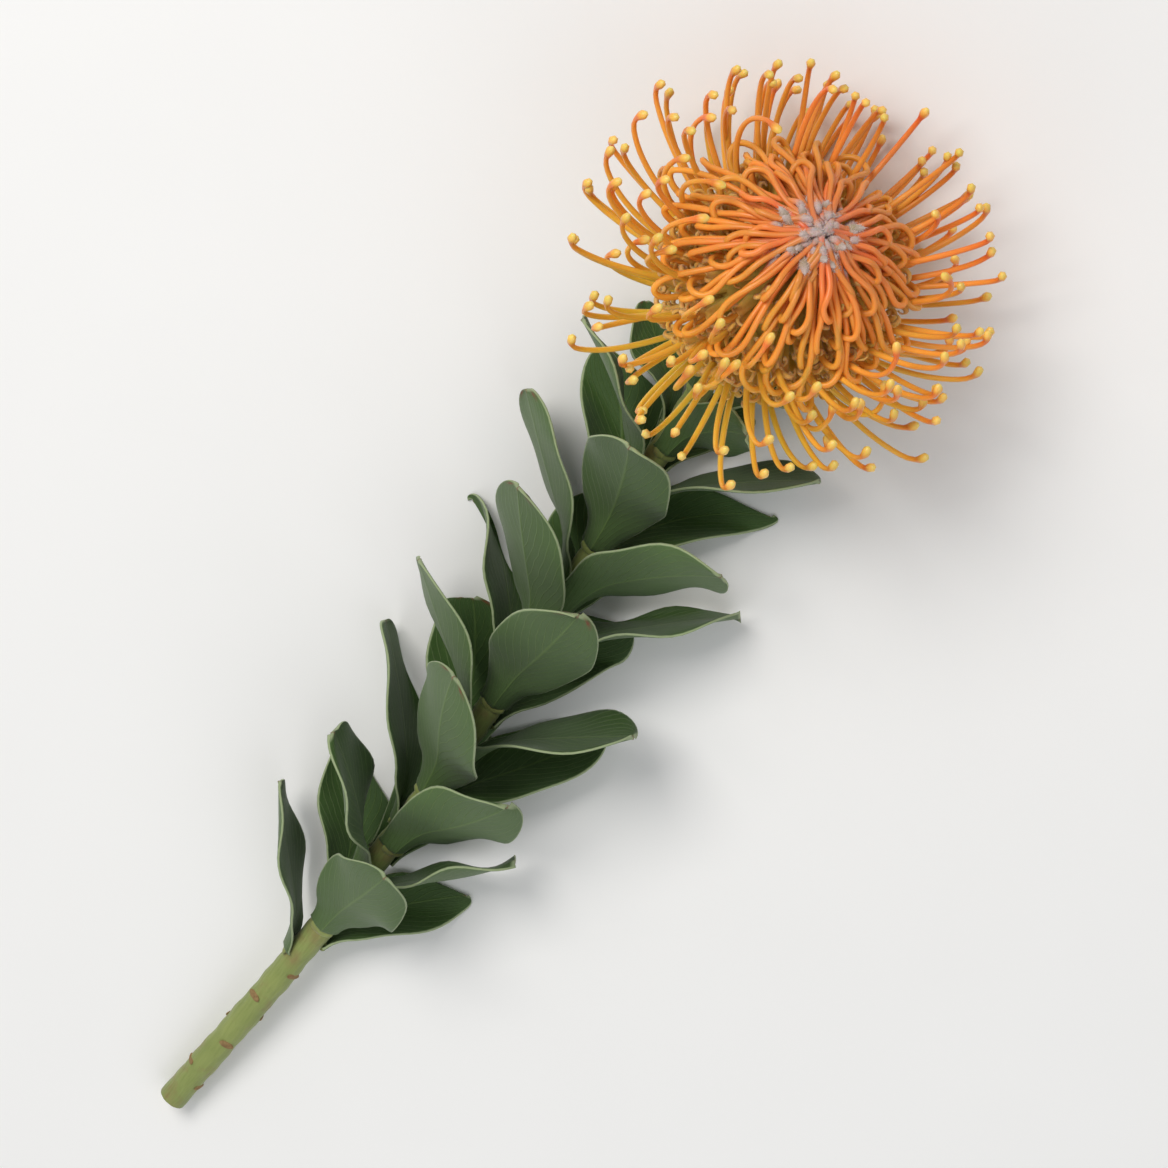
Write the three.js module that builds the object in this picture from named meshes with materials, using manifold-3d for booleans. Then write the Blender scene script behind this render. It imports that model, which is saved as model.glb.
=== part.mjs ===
// A cut pincushion protea lying on a table: one leafy stem, a cup of bracts and one flower head.
// Millimetres, +Z up, the table at z = 0. The stem runs along Y, with the head at +Y, and its neck
// bends up, so that the head faces the sky at an angle, as this species bears its heads.
import * as THREE from 'three';
import { mergeVertices } from 'three/addons/utils/BufferGeometryUtils.js';
import Module from 'manifold-3d';

// Driving dimensions
const HEAD_TILT = 48; // degrees of the head's axis above the table
const HEAD_LEAN = 3; // degrees of the same axis towards +X
const HEAD_BASE = new THREE.Vector3(-2, 107, 20.5); // where the styles begin, on the stem's line
const CORE_RADIUS = 20.5;
const CORE_HEIGHT = 53;
const FLORETS = 144; // on the head, in one golden-angle spiral from base to apex
const FREE_SHARE = 0.5; // of the spiral, from the base: florets whose styles have sprung free
const LOOP_SHARE = 0.93; // of the spiral: up to here the style's tip is still held, in a loop
const STYLE_RADIUS = 0.85;
const STYLE_LENGTH = 50; // of a free style, from inside the core to its tip
const KNOB_RADIUS = 1.25; // of the pollen presenter at a free style's tip
const LOOP_REACH = 38; // of the lowest loops, off the head's axis
const CAP_HEIGHT = 57.5; // of the woolly cap over the apex, where the loops end
const BUD_RADIUS = 1.6;
const BUD_LENGTH = 9;
const STEM_RUN = 285; // along Y, from the cut end to the head's base
const STEM_CUT_RADIUS = 4.1;
const STEM_TOP_RADIUS = 3.3;
const BRACT_CUP_HEIGHT = 7.5;
const BRACT_CUP_RADIUS = 8.2;
const LEAF_COUNT = 33;
const LEAF_FIRST = 62; // along the stem from the cut end to the lowest leaf
const LEAF_LAST = 267; // and to the highest
const LEAF_LENGTH = 54;
const LEAF_WIDTH = 28;
const LEAF_THICKNESS = 1.0;
const GAP = 0.3; // between neighbouring pieces

const GOLDEN_ANGLE = THREE.MathUtils.degToRad(137.508);
const JOIN_TOLERANCE = 0.01; // corners closer than this are made one where bodies are joined

const wasm = await Module();
wasm.setup();

// Chance and blending

// A repeatable number from 0 to 1 for one item and one purpose.
function chance(item, purpose) {
  const wave = Math.sin(item * 12.9898 + purpose * 78.233) * 43758.5453;
  return wave - Math.floor(wave);
}

function spread(item, purpose, halfRange) {
  return (2 * chance(item, purpose) - 1) * halfRange;
}

function mix(from, to, share) {
  return from + (to - from) * share;
}

function ease(share) {
  const held = Math.min(1, Math.max(0, share));
  return held * held * (3 - 2 * held);
}

// Lifts a height that would pass through the table, with a soft bend.
function restOnTable(height, clearance, softness) {
  const above = height - clearance;
  return clearance + (above + Math.sqrt(above * above + softness * softness)) / 2;
}

// Closed meshes

function geometryFrom(positions, indices) {
  const geometry = new THREE.BufferGeometry();
  geometry.setAttribute('position', new THREE.Float32BufferAttribute(positions, 3));
  geometry.setIndex(indices);
  return geometry;
}

// Frames carried along a path without twisting.
function carriedFrames(points) {
  const frames = [];
  let across = null;
  for (let i = 0; i < points.length; i += 1) {
    const before = points[Math.max(0, i - 1)];
    const after = points[Math.min(points.length - 1, i + 1)];
    const along = after.clone().sub(before).normalize();
    if (!across) {
      const pick = Math.abs(along.z) < 0.9 ? new THREE.Vector3(0, 0, 1) : new THREE.Vector3(1, 0, 0);
      across = pick.cross(along).normalize();
    }
    across = across.clone().addScaledVector(along, -across.dot(along)).normalize();
    frames.push({ across, up: along.clone().cross(across) });
  }
  return frames;
}

// A closed tube of flat sides through the points, with its own radius at each point.
function closedTube(points, radii, sides, turn = 0) {
  const frames = carriedFrames(points);
  const positions = [];
  const indices = [];
  points.forEach((point, i) => {
    for (let k = 0; k < sides; k += 1) {
      const angle = turn + (2 * Math.PI * k) / sides;
      const corner = point.clone();
      corner.addScaledVector(frames[i].across, radii[i] * Math.cos(angle));
      corner.addScaledVector(frames[i].up, radii[i] * Math.sin(angle));
      positions.push(corner.x, corner.y, corner.z);
    }
  });
  for (let i = 0; i < points.length - 1; i += 1) {
    for (let k = 0; k < sides; k += 1) {
      const a = i * sides + k;
      const b = i * sides + ((k + 1) % sides);
      indices.push(a, b, b + sides, a, b + sides, a + sides);
    }
  }
  const last = (points.length - 1) * sides;
  for (let k = 1; k < sides - 1; k += 1) {
    indices.push(0, k + 1, k);
    indices.push(last, last + k, last + k + 1);
  }
  return geometryFrom(positions, indices);
}

// A closed body of rings round an axis, from a bottom point to a top point.
function ringedBody(bottom, rings, top) {
  const sides = rings[0].length;
  const positions = [bottom.x, bottom.y, bottom.z];
  const indices = [];
  for (const ring of rings) {
    for (const corner of ring) {
      positions.push(corner.x, corner.y, corner.z);
    }
  }
  positions.push(top.x, top.y, top.z);
  const topIndex = positions.length / 3 - 1;
  const lastRing = 1 + (rings.length - 1) * sides;
  for (let k = 0; k < sides; k += 1) {
    const next = (k + 1) % sides;
    indices.push(0, 1 + next, 1 + k);
    indices.push(topIndex, lastRing + k, lastRing + next);
    for (let i = 0; i < rings.length - 1; i += 1) {
      const a = 1 + i * sides + k;
      const b = 1 + i * sides + next;
      indices.push(a, b, b + sides, a, b + sides, a + sides);
    }
  }
  return geometryFrom(positions, indices);
}

// A thick sheet from two grids of points, front and back, with the rim closed between them.
function closedSheet(front, back) {
  const rows = front.length;
  const columns = front[0].length;
  const positions = [];
  const indices = [];
  for (const grid of [front, back]) {
    for (const row of grid) {
      for (const point of row) {
        positions.push(point.x, point.y, point.z);
      }
    }
  }
  const half = rows * columns;
  for (let i = 0; i < rows - 1; i += 1) {
    for (let j = 0; j < columns - 1; j += 1) {
      const a = i * columns + j;
      const c = a + columns;
      indices.push(a, a + 1, c + 1, a, c + 1, c);
      indices.push(half + a, half + c + 1, half + a + 1, half + a, half + c, half + c + 1);
    }
  }
  const rim = [];
  for (let j = 0; j < columns - 1; j += 1) {
    rim.push(j);
  }
  for (let i = 0; i < rows - 1; i += 1) {
    rim.push(i * columns + columns - 1);
  }
  for (let j = columns - 1; j > 0; j -= 1) {
    rim.push((rows - 1) * columns + j);
  }
  for (let i = rows - 1; i > 0; i -= 1) {
    rim.push(i * columns);
  }
  rim.forEach((a, k) => {
    const b = rim[(k + 1) % rim.length];
    indices.push(a, half + b, b, a, half + a, half + b);
  });
  return geometryFrom(positions, indices);
}

// Joining

function solidFrom(geometry) {
  geometry.deleteAttribute('normal');
  geometry.deleteAttribute('uv');
  const merged = mergeVertices(geometry, JOIN_TOLERANCE / 10);
  const mesh = new wasm.Mesh({
    numProp: 3,
    vertProperties: Float32Array.from(merged.attributes.position.array),
    triVerts: Uint32Array.from(merged.index.array),
  });
  return new wasm.Manifold(mesh);
}

// Only the outer skin of the largest body: sealed pockets and loose scraps are left out.
function outerSkin(mesh) {
  const parent = Array.from({ length: mesh.vertProperties.length / mesh.numProp }, (_, i) => i);
  const rootOf = (start) => {
    let at = start;
    while (parent[at] !== at) {
      parent[at] = parent[parent[at]];
      at = parent[at];
    }
    return at;
  };
  for (let i = 0; i < mesh.triVerts.length; i += 3) {
    parent[rootOf(mesh.triVerts[i])] = rootOf(mesh.triVerts[i + 1]);
    parent[rootOf(mesh.triVerts[i + 1])] = rootOf(mesh.triVerts[i + 2]);
  }
  const groups = new Map();
  for (let i = 0; i < mesh.triVerts.length; i += 3) {
    const root = rootOf(mesh.triVerts[i]);
    if (!groups.has(root)) {
      groups.set(root, []);
    }
    groups.get(root).push(mesh.triVerts[i], mesh.triVerts[i + 1], mesh.triVerts[i + 2]);
  }
  const largest = [...groups.values()].sort((a, b) => b.length - a.length)[0];
  const places = new Map();
  const positions = [];
  const indices = largest.map((vertex) => {
    if (!places.has(vertex)) {
      places.set(vertex, places.size);
      for (let k = 0; k < 3; k += 1) {
        positions.push(mesh.vertProperties[vertex * mesh.numProp + k]);
      }
    }
    return places.get(vertex);
  });
  return geometryFrom(positions, indices);
}

function fused(geometries) {
  const solids = geometries.map(solidFrom);
  const whole = wasm.Manifold.union(solids).simplify(JOIN_TOLERANCE);
  return outerSkin(whole.getMesh());
}

// The stem's line

const tilt = THREE.MathUtils.degToRad(HEAD_TILT);
const lean = THREE.MathUtils.degToRad(HEAD_LEAN);
const headAxis = new THREE.Vector3(
  Math.sin(lean),
  Math.cos(lean) * Math.cos(tilt),
  Math.cos(lean) * Math.sin(tilt),
);
const headSide = new THREE.Vector3(0, 0, 1).cross(headAxis).negate().normalize();
const headDown = headAxis.clone().cross(headSide).normalize();

// Stations from the cut end to the neck: share of the run, sideways sway and height.
const STEM_STATIONS = [
  { share: 0, sway: -4, height: STEM_CUT_RADIUS },
  { share: 0.22, sway: 1, height: 11 },
  { share: 0.45, sway: 4, height: 16.5 },
  { share: 0.68, sway: 2, height: 16.5 },
  { share: 0.9, sway: -0.5, height: 12 },
];

const stemLine = (() => {
  const start = HEAD_BASE.y - STEM_RUN;
  const points = STEM_STATIONS.map(
    ({ share, sway, height }) => new THREE.Vector3(sway, start + share * STEM_RUN, height),
  );
  points.push(HEAD_BASE.clone().addScaledVector(headAxis, -BRACT_CUP_HEIGHT - GAP));
  return points;
})();

// A cubic through the stations; at the top it runs along the head's axis.
function stemPoint(share) {
  const spans = stemLine.length - 1;
  const place = Math.min(share * spans, spans - 1e-9);
  const i = Math.floor(place);
  const t = place - i;
  const slope = (k) => {
    if (k === spans) {
      const reach = stemLine[k].distanceTo(stemLine[k - 1]);
      return headAxis.clone().multiplyScalar(reach);
    }
    const before = stemLine[Math.max(0, k - 1)];
    const after = stemLine[Math.min(spans, k + 1)];
    return after.clone().sub(before).multiplyScalar(k === 0 ? 1 : 0.5);
  };
  const point = new THREE.Vector3();
  point.addScaledVector(stemLine[i], 1 - 3 * t * t + 2 * t * t * t);
  point.addScaledVector(stemLine[i + 1], 3 * t * t - 2 * t * t * t);
  point.addScaledVector(slope(i), t - 2 * t * t + t * t * t);
  point.addScaledVector(slope(i + 1), t * t * t - t * t);
  return point;
}

const STEM_SAMPLES = 600;
const stemTable = (() => {
  const rows = [{ at: 0, point: stemPoint(0) }];
  for (let i = 1; i <= STEM_SAMPLES; i += 1) {
    const point = stemPoint(i / STEM_SAMPLES);
    rows.push({ at: rows[i - 1].at + point.distanceTo(rows[i - 1].point), point });
  }
  return rows;
})();
const stemLength = stemTable[STEM_SAMPLES].at;

// Place and direction on the stem's line, a distance from the cut end.
function stemAt(distance) {
  let i = 1;
  while (i < STEM_SAMPLES && stemTable[i].at < distance) {
    i += 1;
  }
  const before = stemTable[i - 1];
  const after = stemTable[i];
  const share = (distance - before.at) / (after.at - before.at);
  const point = before.point.clone().lerp(after.point, share);
  const along = after.point.clone().sub(before.point).normalize();
  const side = along.clone().cross(new THREE.Vector3(0, 0, 1)).normalize();
  const up = side.clone().cross(along);
  return { point, along, side, up };
}

const STEM_FLARE = 1.1; // added to the stem's radius right under the bracts
const STEM_FLARE_LENGTH = 9;
const STEM_TAPER = 1.3; // above 1, the stem has its upper radius before its end

function stemRadius(distance) {
  const share = distance / stemLength;
  const flare = Math.exp(-((stemLength - distance) / STEM_FLARE_LENGTH)) * STEM_FLARE;
  return mix(STEM_CUT_RADIUS, STEM_TOP_RADIUS, ease(share * STEM_TAPER)) + flare;
}

const STEM_SIDES = 10;
const STEM_RINGS = 26;
const STEM_CROWDING = 1.6; // above 1, the rings stand closer towards the neck

// The woody stem, a tapering rod from the cut end to the flared neck under the bracts. The rings
// stand closer towards the neck, where it bends.
function makeStem() {
  const points = [];
  const radii = [];
  for (let i = 0; i <= STEM_RINGS; i += 1) {
    const distance = stemLength * (1 - (1 - i / STEM_RINGS) ** STEM_CROWDING);
    points.push(stemAt(distance).point);
    radii.push(stemRadius(distance));
  }
  return closedTube(points, radii, STEM_SIDES, Math.PI / STEM_SIDES);
}

// The head's places

// A point from its distance off the axis, its angle round it and its height up it. Angle 90 degrees
// points to the table.
function headPoint(radius, angle, height) {
  const point = HEAD_BASE.clone();
  point.addScaledVector(headSide, radius * Math.cos(angle));
  point.addScaledVector(headDown, radius * Math.sin(angle));
  point.addScaledVector(headAxis, height);
  return point;
}

// The core is an egg: level -1 is its foot, +1 its apex. Lifted stands off its skin.
function corePlace(level, lifted) {
  const held = Math.min(0.999, Math.max(-0.999, level));
  const girth = Math.sqrt(1 - held * held);
  const normalRadial = girth / CORE_RADIUS;
  const normalAxial = held / (CORE_HEIGHT / 2);
  const size = Math.hypot(normalRadial, normalAxial);
  return {
    radius: CORE_RADIUS * girth + (lifted * normalRadial) / size,
    height: (CORE_HEIGHT / 2) * (1 + held) + (lifted * normalAxial) / size,
  };
}

// The receptacle and the perianths packed on it: an egg with staggered bosses in spiral rows.
function makeCore() {
  const rows = 11;
  const columns = 18;
  const lowest = -0.8; // level of the first row above the foot
  const highest = 0.94;
  const bossHeight = 2.2;
  const turnPerRow = 0.35; // of a column's width
  const placeAt = (column, row) => (2 * Math.PI * (column + row * turnPerRow)) / columns;
  const foot = [];
  for (let k = 0; k < columns; k += 1) {
    foot.push(headPoint(BRACT_CUP_RADIUS - 1, placeAt(k, -1), GAP));
  }
  const rings = [foot];
  for (let i = 0; i < rows; i += 1) {
    const level = mix(lowest, highest, i / (rows - 1));
    const ring = [];
    for (let k = 0; k < columns; k += 1) {
      const raised = (i + k) % 2 === 0 ? bossHeight * Math.sqrt(1 - level * level) : 0;
      const { radius, height } = corePlace(level, raised);
      ring.push(headPoint(radius, placeAt(k, i), height));
    }
    rings.push(ring);
  }
  return ringedBody(headPoint(0, 0, GAP), rings, headPoint(0, 0, CORE_HEIGHT + 1));
}

// The zones of the head from its base to its apex, with the levels of the core where each one lies.
const ZONES = [
  { zone: 'free', from: 0, to: FREE_SHARE, foot: -0.96, top: 0.08 },
  { zone: 'looped', from: FREE_SHARE, to: LOOP_SHARE, foot: 0.08, top: 0.9 },
  { zone: 'closed', from: LOOP_SHARE, to: 1, foot: 0.955, top: 0.995 },
];

// One floret of the spiral: up goes from 0 to 1 within its own zone.
function floret(index) {
  const share = (index + 0.5) / FLORETS;
  const { zone, from, to, foot, top } = ZONES.find((each) => share < each.to);
  const up = (share - from) / (to - from);
  const angle = index * GOLDEN_ANGLE + spread(index, 1, 0.06);
  return { index, zone, up, level: mix(foot, top, up), angle };
}

const PATH_STEPS = 24;
const ROOT_DEPTH = 4; // of a style's foot inside the core
const LOW_LEAN = -13; // degrees from square to the axis towards the apex: the lowest styles
const HIGH_LEAN = 34; // and the highest ones
const LEAN_SPREAD = 7;
const LOW_BEND = 66; // degrees by which the lowest styles bend up on their way
const HIGH_BEND = 62;
const BEND_SPREAD = 16;
const BEND_DELAY = 2.1; // above 1, most of the bend comes near the tip
const HOOKED_FROM = 0.84; // of chance: styles above it bend over at the tip
const HOOK_BEND = 55;
const LOW_LENGTH = 1.03; // of a free style's length, for the lowest
const HIGH_LENGTH = 0.9;
const LENGTH_SPREAD = 0.05;
const SWIRL_SPREAD = 0.12; // sideways, in radians round the axis
const STYLE_SOFTNESS = 0.8; // of the bend where a style is pressed against the table

// A free style leaves the core, runs out and bends up towards its tip.
function freeStylePath({ index, up, level, angle }) {
  const root = corePlace(level, -ROOT_DEPTH);
  const leanBy = mix(LOW_LEAN, HIGH_LEAN, up ** 0.9) + spread(index, 2, LEAN_SPREAD);
  const startLean = THREE.MathUtils.degToRad(leanBy);
  const hooked = chance(index, 3) > HOOKED_FROM ? HOOK_BEND : 0;
  const bendBy = mix(LOW_BEND, HIGH_BEND, up) + spread(index, 4, BEND_SPREAD) + hooked;
  const bend = THREE.MathUtils.degToRad(bendBy);
  const length = STYLE_LENGTH * mix(LOW_LENGTH, HIGH_LENGTH, up) * (1 + spread(index, 5, LENGTH_SPREAD));
  const swirl = spread(index, 6, SWIRL_SPREAD);
  const step = length / PATH_STEPS;
  let { radius, height } = root;
  const path = [];
  for (let i = 0; i <= PATH_STEPS; i += 1) {
    const run = i / PATH_STEPS;
    const point = headPoint(radius, angle + swirl * run * run, height);
    point.z = restOnTable(point.z, STYLE_RADIUS, STYLE_SOFTNESS);
    path.push(point);
    const middle = (i + 0.5) / PATH_STEPS;
    const leanNow = startLean + bend * middle ** BEND_DELAY;
    radius += step * Math.cos(leanNow);
    height += step * Math.sin(leanNow);
  }
  return path;
}

// Every so many points of a path, keeping both ends.
function thinned(path, steps) {
  return Array.from({ length: steps + 1 }, (_, i) => path[Math.round((i * (path.length - 1)) / steps)]);
}

const STYLE_STEPS = 6;
const STYLE_SIDES = 3;
const KNOB_LENGTH = 2.8;
const KNOB_END = 1.1; // past the knob's widest ring
const KNOB_END_GIRTH = 0.5; // of the knob's radius

// A free style with the knob that carried its pollen.
function makeFreeStyle(flower) {
  const points = thinned(freeStylePath(flower), STYLE_STEPS);
  const tip = points[STYLE_STEPS];
  const along = tip.clone().sub(points[STYLE_STEPS - 1]).normalize();
  const neck = tip.clone().addScaledVector(along, -KNOB_LENGTH);
  const top = tip.clone().addScaledVector(along, KNOB_END);
  const route = [...points.slice(0, STYLE_STEPS), neck, tip, top];
  const radii = route.map(() => STYLE_RADIUS);
  radii[STYLE_STEPS + 1] = KNOB_RADIUS;
  radii[STYLE_STEPS + 2] = KNOB_RADIUS * KNOB_END_GIRTH;
  return closedTube(route, radii, STYLE_SIDES, flower.index);
}

const HALF_TURN = 2.4; // half the distance between a loop's two limbs
const CAP_SPREAD = 25; // the larger, the flatter the woolly cap
const TOP_REACH = 18; // of the highest loops, off the axis
const REACH_SPREAD = 1.5;
const LOW_TURN = 31; // height of the turn of the lowest loops, up the axis
const TOP_TURN = 52; // and of the highest
const TURN_LEAD = 3; // by which the limbs stop short of the turn's furthest place
const LOW_TIP = 12; // distance off the axis at which the lowest loops end
const TOP_TIP = 3; // and the highest
const NECK_LENGTH = 6; // of the held end, on the woolly cap
const ARCH = 1.8; // by which the upper limb stands above a straight line
const OPENING_SPREAD = 0.14; // between the two limbs, in radians round the axis
const TIP_SPREAD = 0.1;

// Height of the woolly cap over the apex, at a distance off the axis.
function capHeight(radius) {
  return CAP_HEIGHT - (radius * radius) / CAP_SPREAD;
}

// A held style runs out of the core, turns like a hairpin and runs back over the dome to the apex.
function loopPath({ index, up, level, angle }) {
  const reach = mix(LOOP_REACH, TOP_REACH, up ** 0.9) + spread(index, 7, REACH_SPREAD);
  const turn = mix(LOW_TURN, TOP_TURN, up) + spread(index, 12, 1);
  const tip = mix(LOW_TIP, TOP_TIP, up ** 0.7) + spread(index, 13, 0.6);
  const neck = tip + NECK_LENGTH;
  const opening = spread(index, 8, OPENING_SPREAD);
  const tipAngle = angle + spread(index, 9, TIP_SPREAD);
  const root = corePlace(level, -ROOT_DEPTH);
  const above = turn + HALF_TURN;
  return [
    headPoint(root.radius, angle - opening, root.height),
    headPoint(reach - TURN_LEAD, angle - opening, turn - HALF_TURN),
    headPoint(reach, angle, turn),
    headPoint(reach - TURN_LEAD, angle + opening, above),
    headPoint(
      mix(reach, neck, 0.5),
      mix(angle + opening, tipAngle, 0.5),
      mix(above, capHeight(neck), 0.5) + ARCH,
    ),
    headPoint(neck, tipAngle, capHeight(neck) + 1),
    headPoint(tip, tipAngle, capHeight(tip)),
  ];
}

function makeLoop(flower) {
  const route = loopPath(flower);
  return closedTube(route, route.map(() => STYLE_RADIUS), STYLE_SIDES, flower.index);
}

const CAP_COLUMNS = 12;
const CAP_ROOT = 12; // depth of the cap's foot under the core's apex
const CAP_CROWN = 2; // of the middle above the cap's height
const CAP_BOSS = 0.7;
const CAP_RINGS = [
  { radius: 13.5, raised: -3.5 },
  { radius: 11.5, raised: 0.4 },
  { radius: 8, raised: 1.3 },
  { radius: 4, raised: 1.6 },
];

// The woolly ends of the held florets, pressed together over the apex.
function makeCap() {
  const rings = CAP_RINGS.map(({ radius, raised }, i) =>
    Array.from({ length: CAP_COLUMNS }, (_, k) => {
      const boss = (i + k) % 2 === 0 ? CAP_BOSS : 0;
      const angle = (2 * Math.PI * (k + i * 0.5)) / CAP_COLUMNS;
      return headPoint(radius, angle, capHeight(radius) + raised + boss);
    }),
  );
  const foot = headPoint(0, 0, CORE_HEIGHT - CAP_ROOT);
  return ringedBody(foot, rings, headPoint(0, 0, CAP_HEIGHT + CAP_CROWN));
}

const BUD_SIDES = 4;
const BUD_SUNK = 0.3; // share of a bud's length inside the core
const BUD_GIRTHS = [0.7, 0.9, 1, 0.6]; // along it, as shares of its radius
const LOW_DROOP = 0.06; // of the core's level, by which an outer bud's tip leans out
const TOP_DROOP = 0.01;

// An unopened floret at the apex: a blunt woolly finger that droops outwards.
function makeBud({ index, up, level, angle }) {
  const length = BUD_LENGTH * (1 + spread(index, 10, 0.18));
  const droop = mix(LOW_DROOP, TOP_DROOP, up);
  const route = BUD_GIRTHS.map((_, i) => {
    const run = i / (BUD_GIRTHS.length - 1);
    const place = corePlace(level - droop * run * run, length * (run ** 0.85 - BUD_SUNK));
    return headPoint(place.radius, angle + spread(index, 11, 0.25) * run, place.height);
  });
  const radii = BUD_GIRTHS.map((girth) => girth * BUD_RADIUS);
  return closedTube(route, radii, BUD_SIDES, index);
}

const MAKERS = { free: makeFreeStyle, looped: makeLoop, closed: makeBud };

// The whole bloom, grown as one piece.
function makeHead() {
  const pieces = [makeCore(), makeCap()];
  for (let index = 0; index < FLORETS; index += 1) {
    const flower = floret(index);
    pieces.push(MAKERS[flower.zone](flower));
  }
  return fused(pieces);
}

// The cup of small overlapping bracts, scale by scale as staggered bosses.
function makeBractCup() {
  const rows = 6;
  const columns = 16;
  const footRadius = 4.6;
  const scaleHeight = 0.9;
  const rings = [];
  for (let i = 0; i < rows; i += 1) {
    const share = i / (rows - 1);
    const height = mix(-BRACT_CUP_HEIGHT, 0, share);
    const turnedIn = 0.8 * ease((share - 0.8) / 0.2);
    const bulge = mix(footRadius, BRACT_CUP_RADIUS, ease(share * 1.1)) - turnedIn;
    const ring = [];
    for (let k = 0; k < columns; k += 1) {
      const raised = (i + k) % 2 === 0 && i > 0 && i < rows - 1 ? scaleHeight : 0;
      ring.push(headPoint(bulge + raised, (2 * Math.PI * (k + i * 0.5)) / columns, height));
    }
    rings.push(ring);
  }
  return ringedBody(headPoint(0, 0, -BRACT_CUP_HEIGHT), rings, headPoint(0, 0, 0));
}

// Leaves

const LEAF_ROWS = [0, 0.1, 0.25, 0.42, 0.6, 0.78, 0.92, 1];
const LEAF_COLUMNS = [-1, -0.5, 0, 0.5, 1];
const LEAF_STEPS = 60; // along the midrib's curve
const TABLE_SOFTNESS = 1.2; // of the bend where a blade is pressed against the table
const FOOT_WIDTH = 0.42; // of the blade's full width
const WIDEST_AT = 0.52; // of its length
const ROUNDED_FROM = 0.5; // of its length, where the rounding of the tip begins
const ROUNDING = 2.2; // 2 would be half an ellipse, more is blunter
const FIRST_AZIMUTH = 0.62; // turns the whole leaf spiral round the stem, in radians
const UPPER_LEAVES = 0.72; // of the spiral: from here up the leaves grow smaller towards the head
const SMALLEST_LEAF = 0.45; // of the full size
const LEAF_OPENING = 47; // degrees between the stem and a blade
const UPPER_OPENING = 66; // and just under the head

// Half the blade's width along its length: a narrow foot, widest past the middle, a round tip.
function leafHalfWidth(run, width) {
  const foot = mix(FOOT_WIDTH, 1, ease(run / WIDEST_AT));
  const past = Math.max(0, run - ROUNDED_FROM) / (1.01 * ROUNDED_FROM);
  return (width / 2) * foot * Math.sqrt(Math.max(0.05, 1 - past ** ROUNDING));
}

// One leaf by its number, from the lowest up.
function leafPlan(number) {
  const share = (number - 1) / (LEAF_COUNT - 1);
  const upper = ease((share - UPPER_LEAVES) / (1 - UPPER_LEAVES));
  const size = mix(0.86, 1.04, ease(share * 3)) * mix(1, SMALLEST_LEAF, upper);
  const opening = mix(LEAF_OPENING, UPPER_OPENING, upper) + spread(number, 24, 4);
  return {
    number,
    distance: mix(LEAF_FIRST, LEAF_LAST, share),
    azimuth: number * GOLDEN_ANGLE + FIRST_AZIMUTH + spread(number, 21, 0.12),
    length: LEAF_LENGTH * size * (1 + spread(number, 22, 0.07)),
    width: LEAF_WIDTH * size * (1 + spread(number, 23, 0.08)),
    opening: THREE.MathUtils.degToRad(opening),
    twist: spread(number, 25, 0.45),
    curl: THREE.MathUtils.degToRad(spread(number, 26, 22)),
    wave: 0.7 + 1.1 * chance(number, 27),
    wavePhase: 2 * Math.PI * chance(number, 28),
    cup: mix(0.012, 0.03, chance(number, 29)),
  };
}

// A point of the blade: run goes from its foot to its tip, across from one edge to the other.
function leafSurface(plan, rows, columns) {
  const base = stemAt(plan.distance);
  const radial = base.side.clone().multiplyScalar(Math.cos(plan.azimuth));
  radial.addScaledVector(base.up, Math.sin(plan.azimuth));
  const around = base.along.clone().cross(radial);
  const clear = stemRadius(plan.distance) + GAP + LEAF_THICKNESS / 2;
  const place = base.point.clone().addScaledVector(radial, clear);
  const middles = [];
  const openAt = (run) => {
    const rise = mix(0.3, 1, ease(run * 2.6));
    return plan.opening * rise + plan.curl * run * run;
  };
  for (let i = 0; i <= LEAF_STEPS; i += 1) {
    middles.push(place.clone());
    const open = openAt((i + 0.5) / LEAF_STEPS);
    place.addScaledVector(base.along, (Math.cos(open) * plan.length) / LEAF_STEPS);
    place.addScaledVector(radial, (Math.sin(open) * plan.length) / LEAF_STEPS);
  }
  const front = [];
  const back = [];
  for (const run of rows) {
    const open = openAt(run);
    const inward = base.along.clone().multiplyScalar(Math.sin(open));
    inward.addScaledVector(radial, -Math.cos(open));
    const roll = plan.twist * ease(run * 1.6);
    const across = around.clone().multiplyScalar(Math.cos(roll)).addScaledVector(inward, Math.sin(roll));
    const face = inward.clone().multiplyScalar(Math.cos(roll)).addScaledVector(around, -Math.sin(roll));
    const half = leafHalfWidth(run, plan.width);
    const clasp = 1 / (clear + 0.2);
    const bow = mix(clasp, plan.cup, ease(run * 4.5));
    const middle = middles[Math.round(run * LEAF_STEPS)];
    // A pressed blade stands a little higher towards its foot, so that one can lie on the next.
    const clearance = LEAF_THICKNESS * (0.55 + 3.2 * (1 - run) ** 1.5);
    const frontRow = [];
    const backRow = [];
    for (const edge of columns) {
      const angle = bow * half * edge;
      const ripple = Math.sin(run * 11 + plan.wavePhase + edge * 1.4) * edge * edge;
      const raise = plan.wave * ripple * ease(run * 2) + (1 - Math.cos(angle)) / bow;
      const point = middle.clone();
      point.addScaledVector(across, Math.sin(angle) / bow);
      point.addScaledVector(face, raise);
      point.z = restOnTable(point.z, clearance, TABLE_SOFTNESS);
      const normal = face.clone().multiplyScalar(Math.cos(angle)).addScaledVector(across, -Math.sin(angle));
      frontRow.push(point.clone().addScaledVector(normal, LEAF_THICKNESS / 2));
      backRow.push(point.clone().addScaledVector(normal, -LEAF_THICKNESS / 2));
    }
    front.push(frontRow);
    back.push(backRow);
  }
  return { front, back };
}

function makeLeaf(number) {
  const { front, back } = leafSurface(leafPlan(number), LEAF_ROWS, LEAF_COLUMNS);
  return closedSheet(back, front);
}

// Materials and the finished flower

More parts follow.
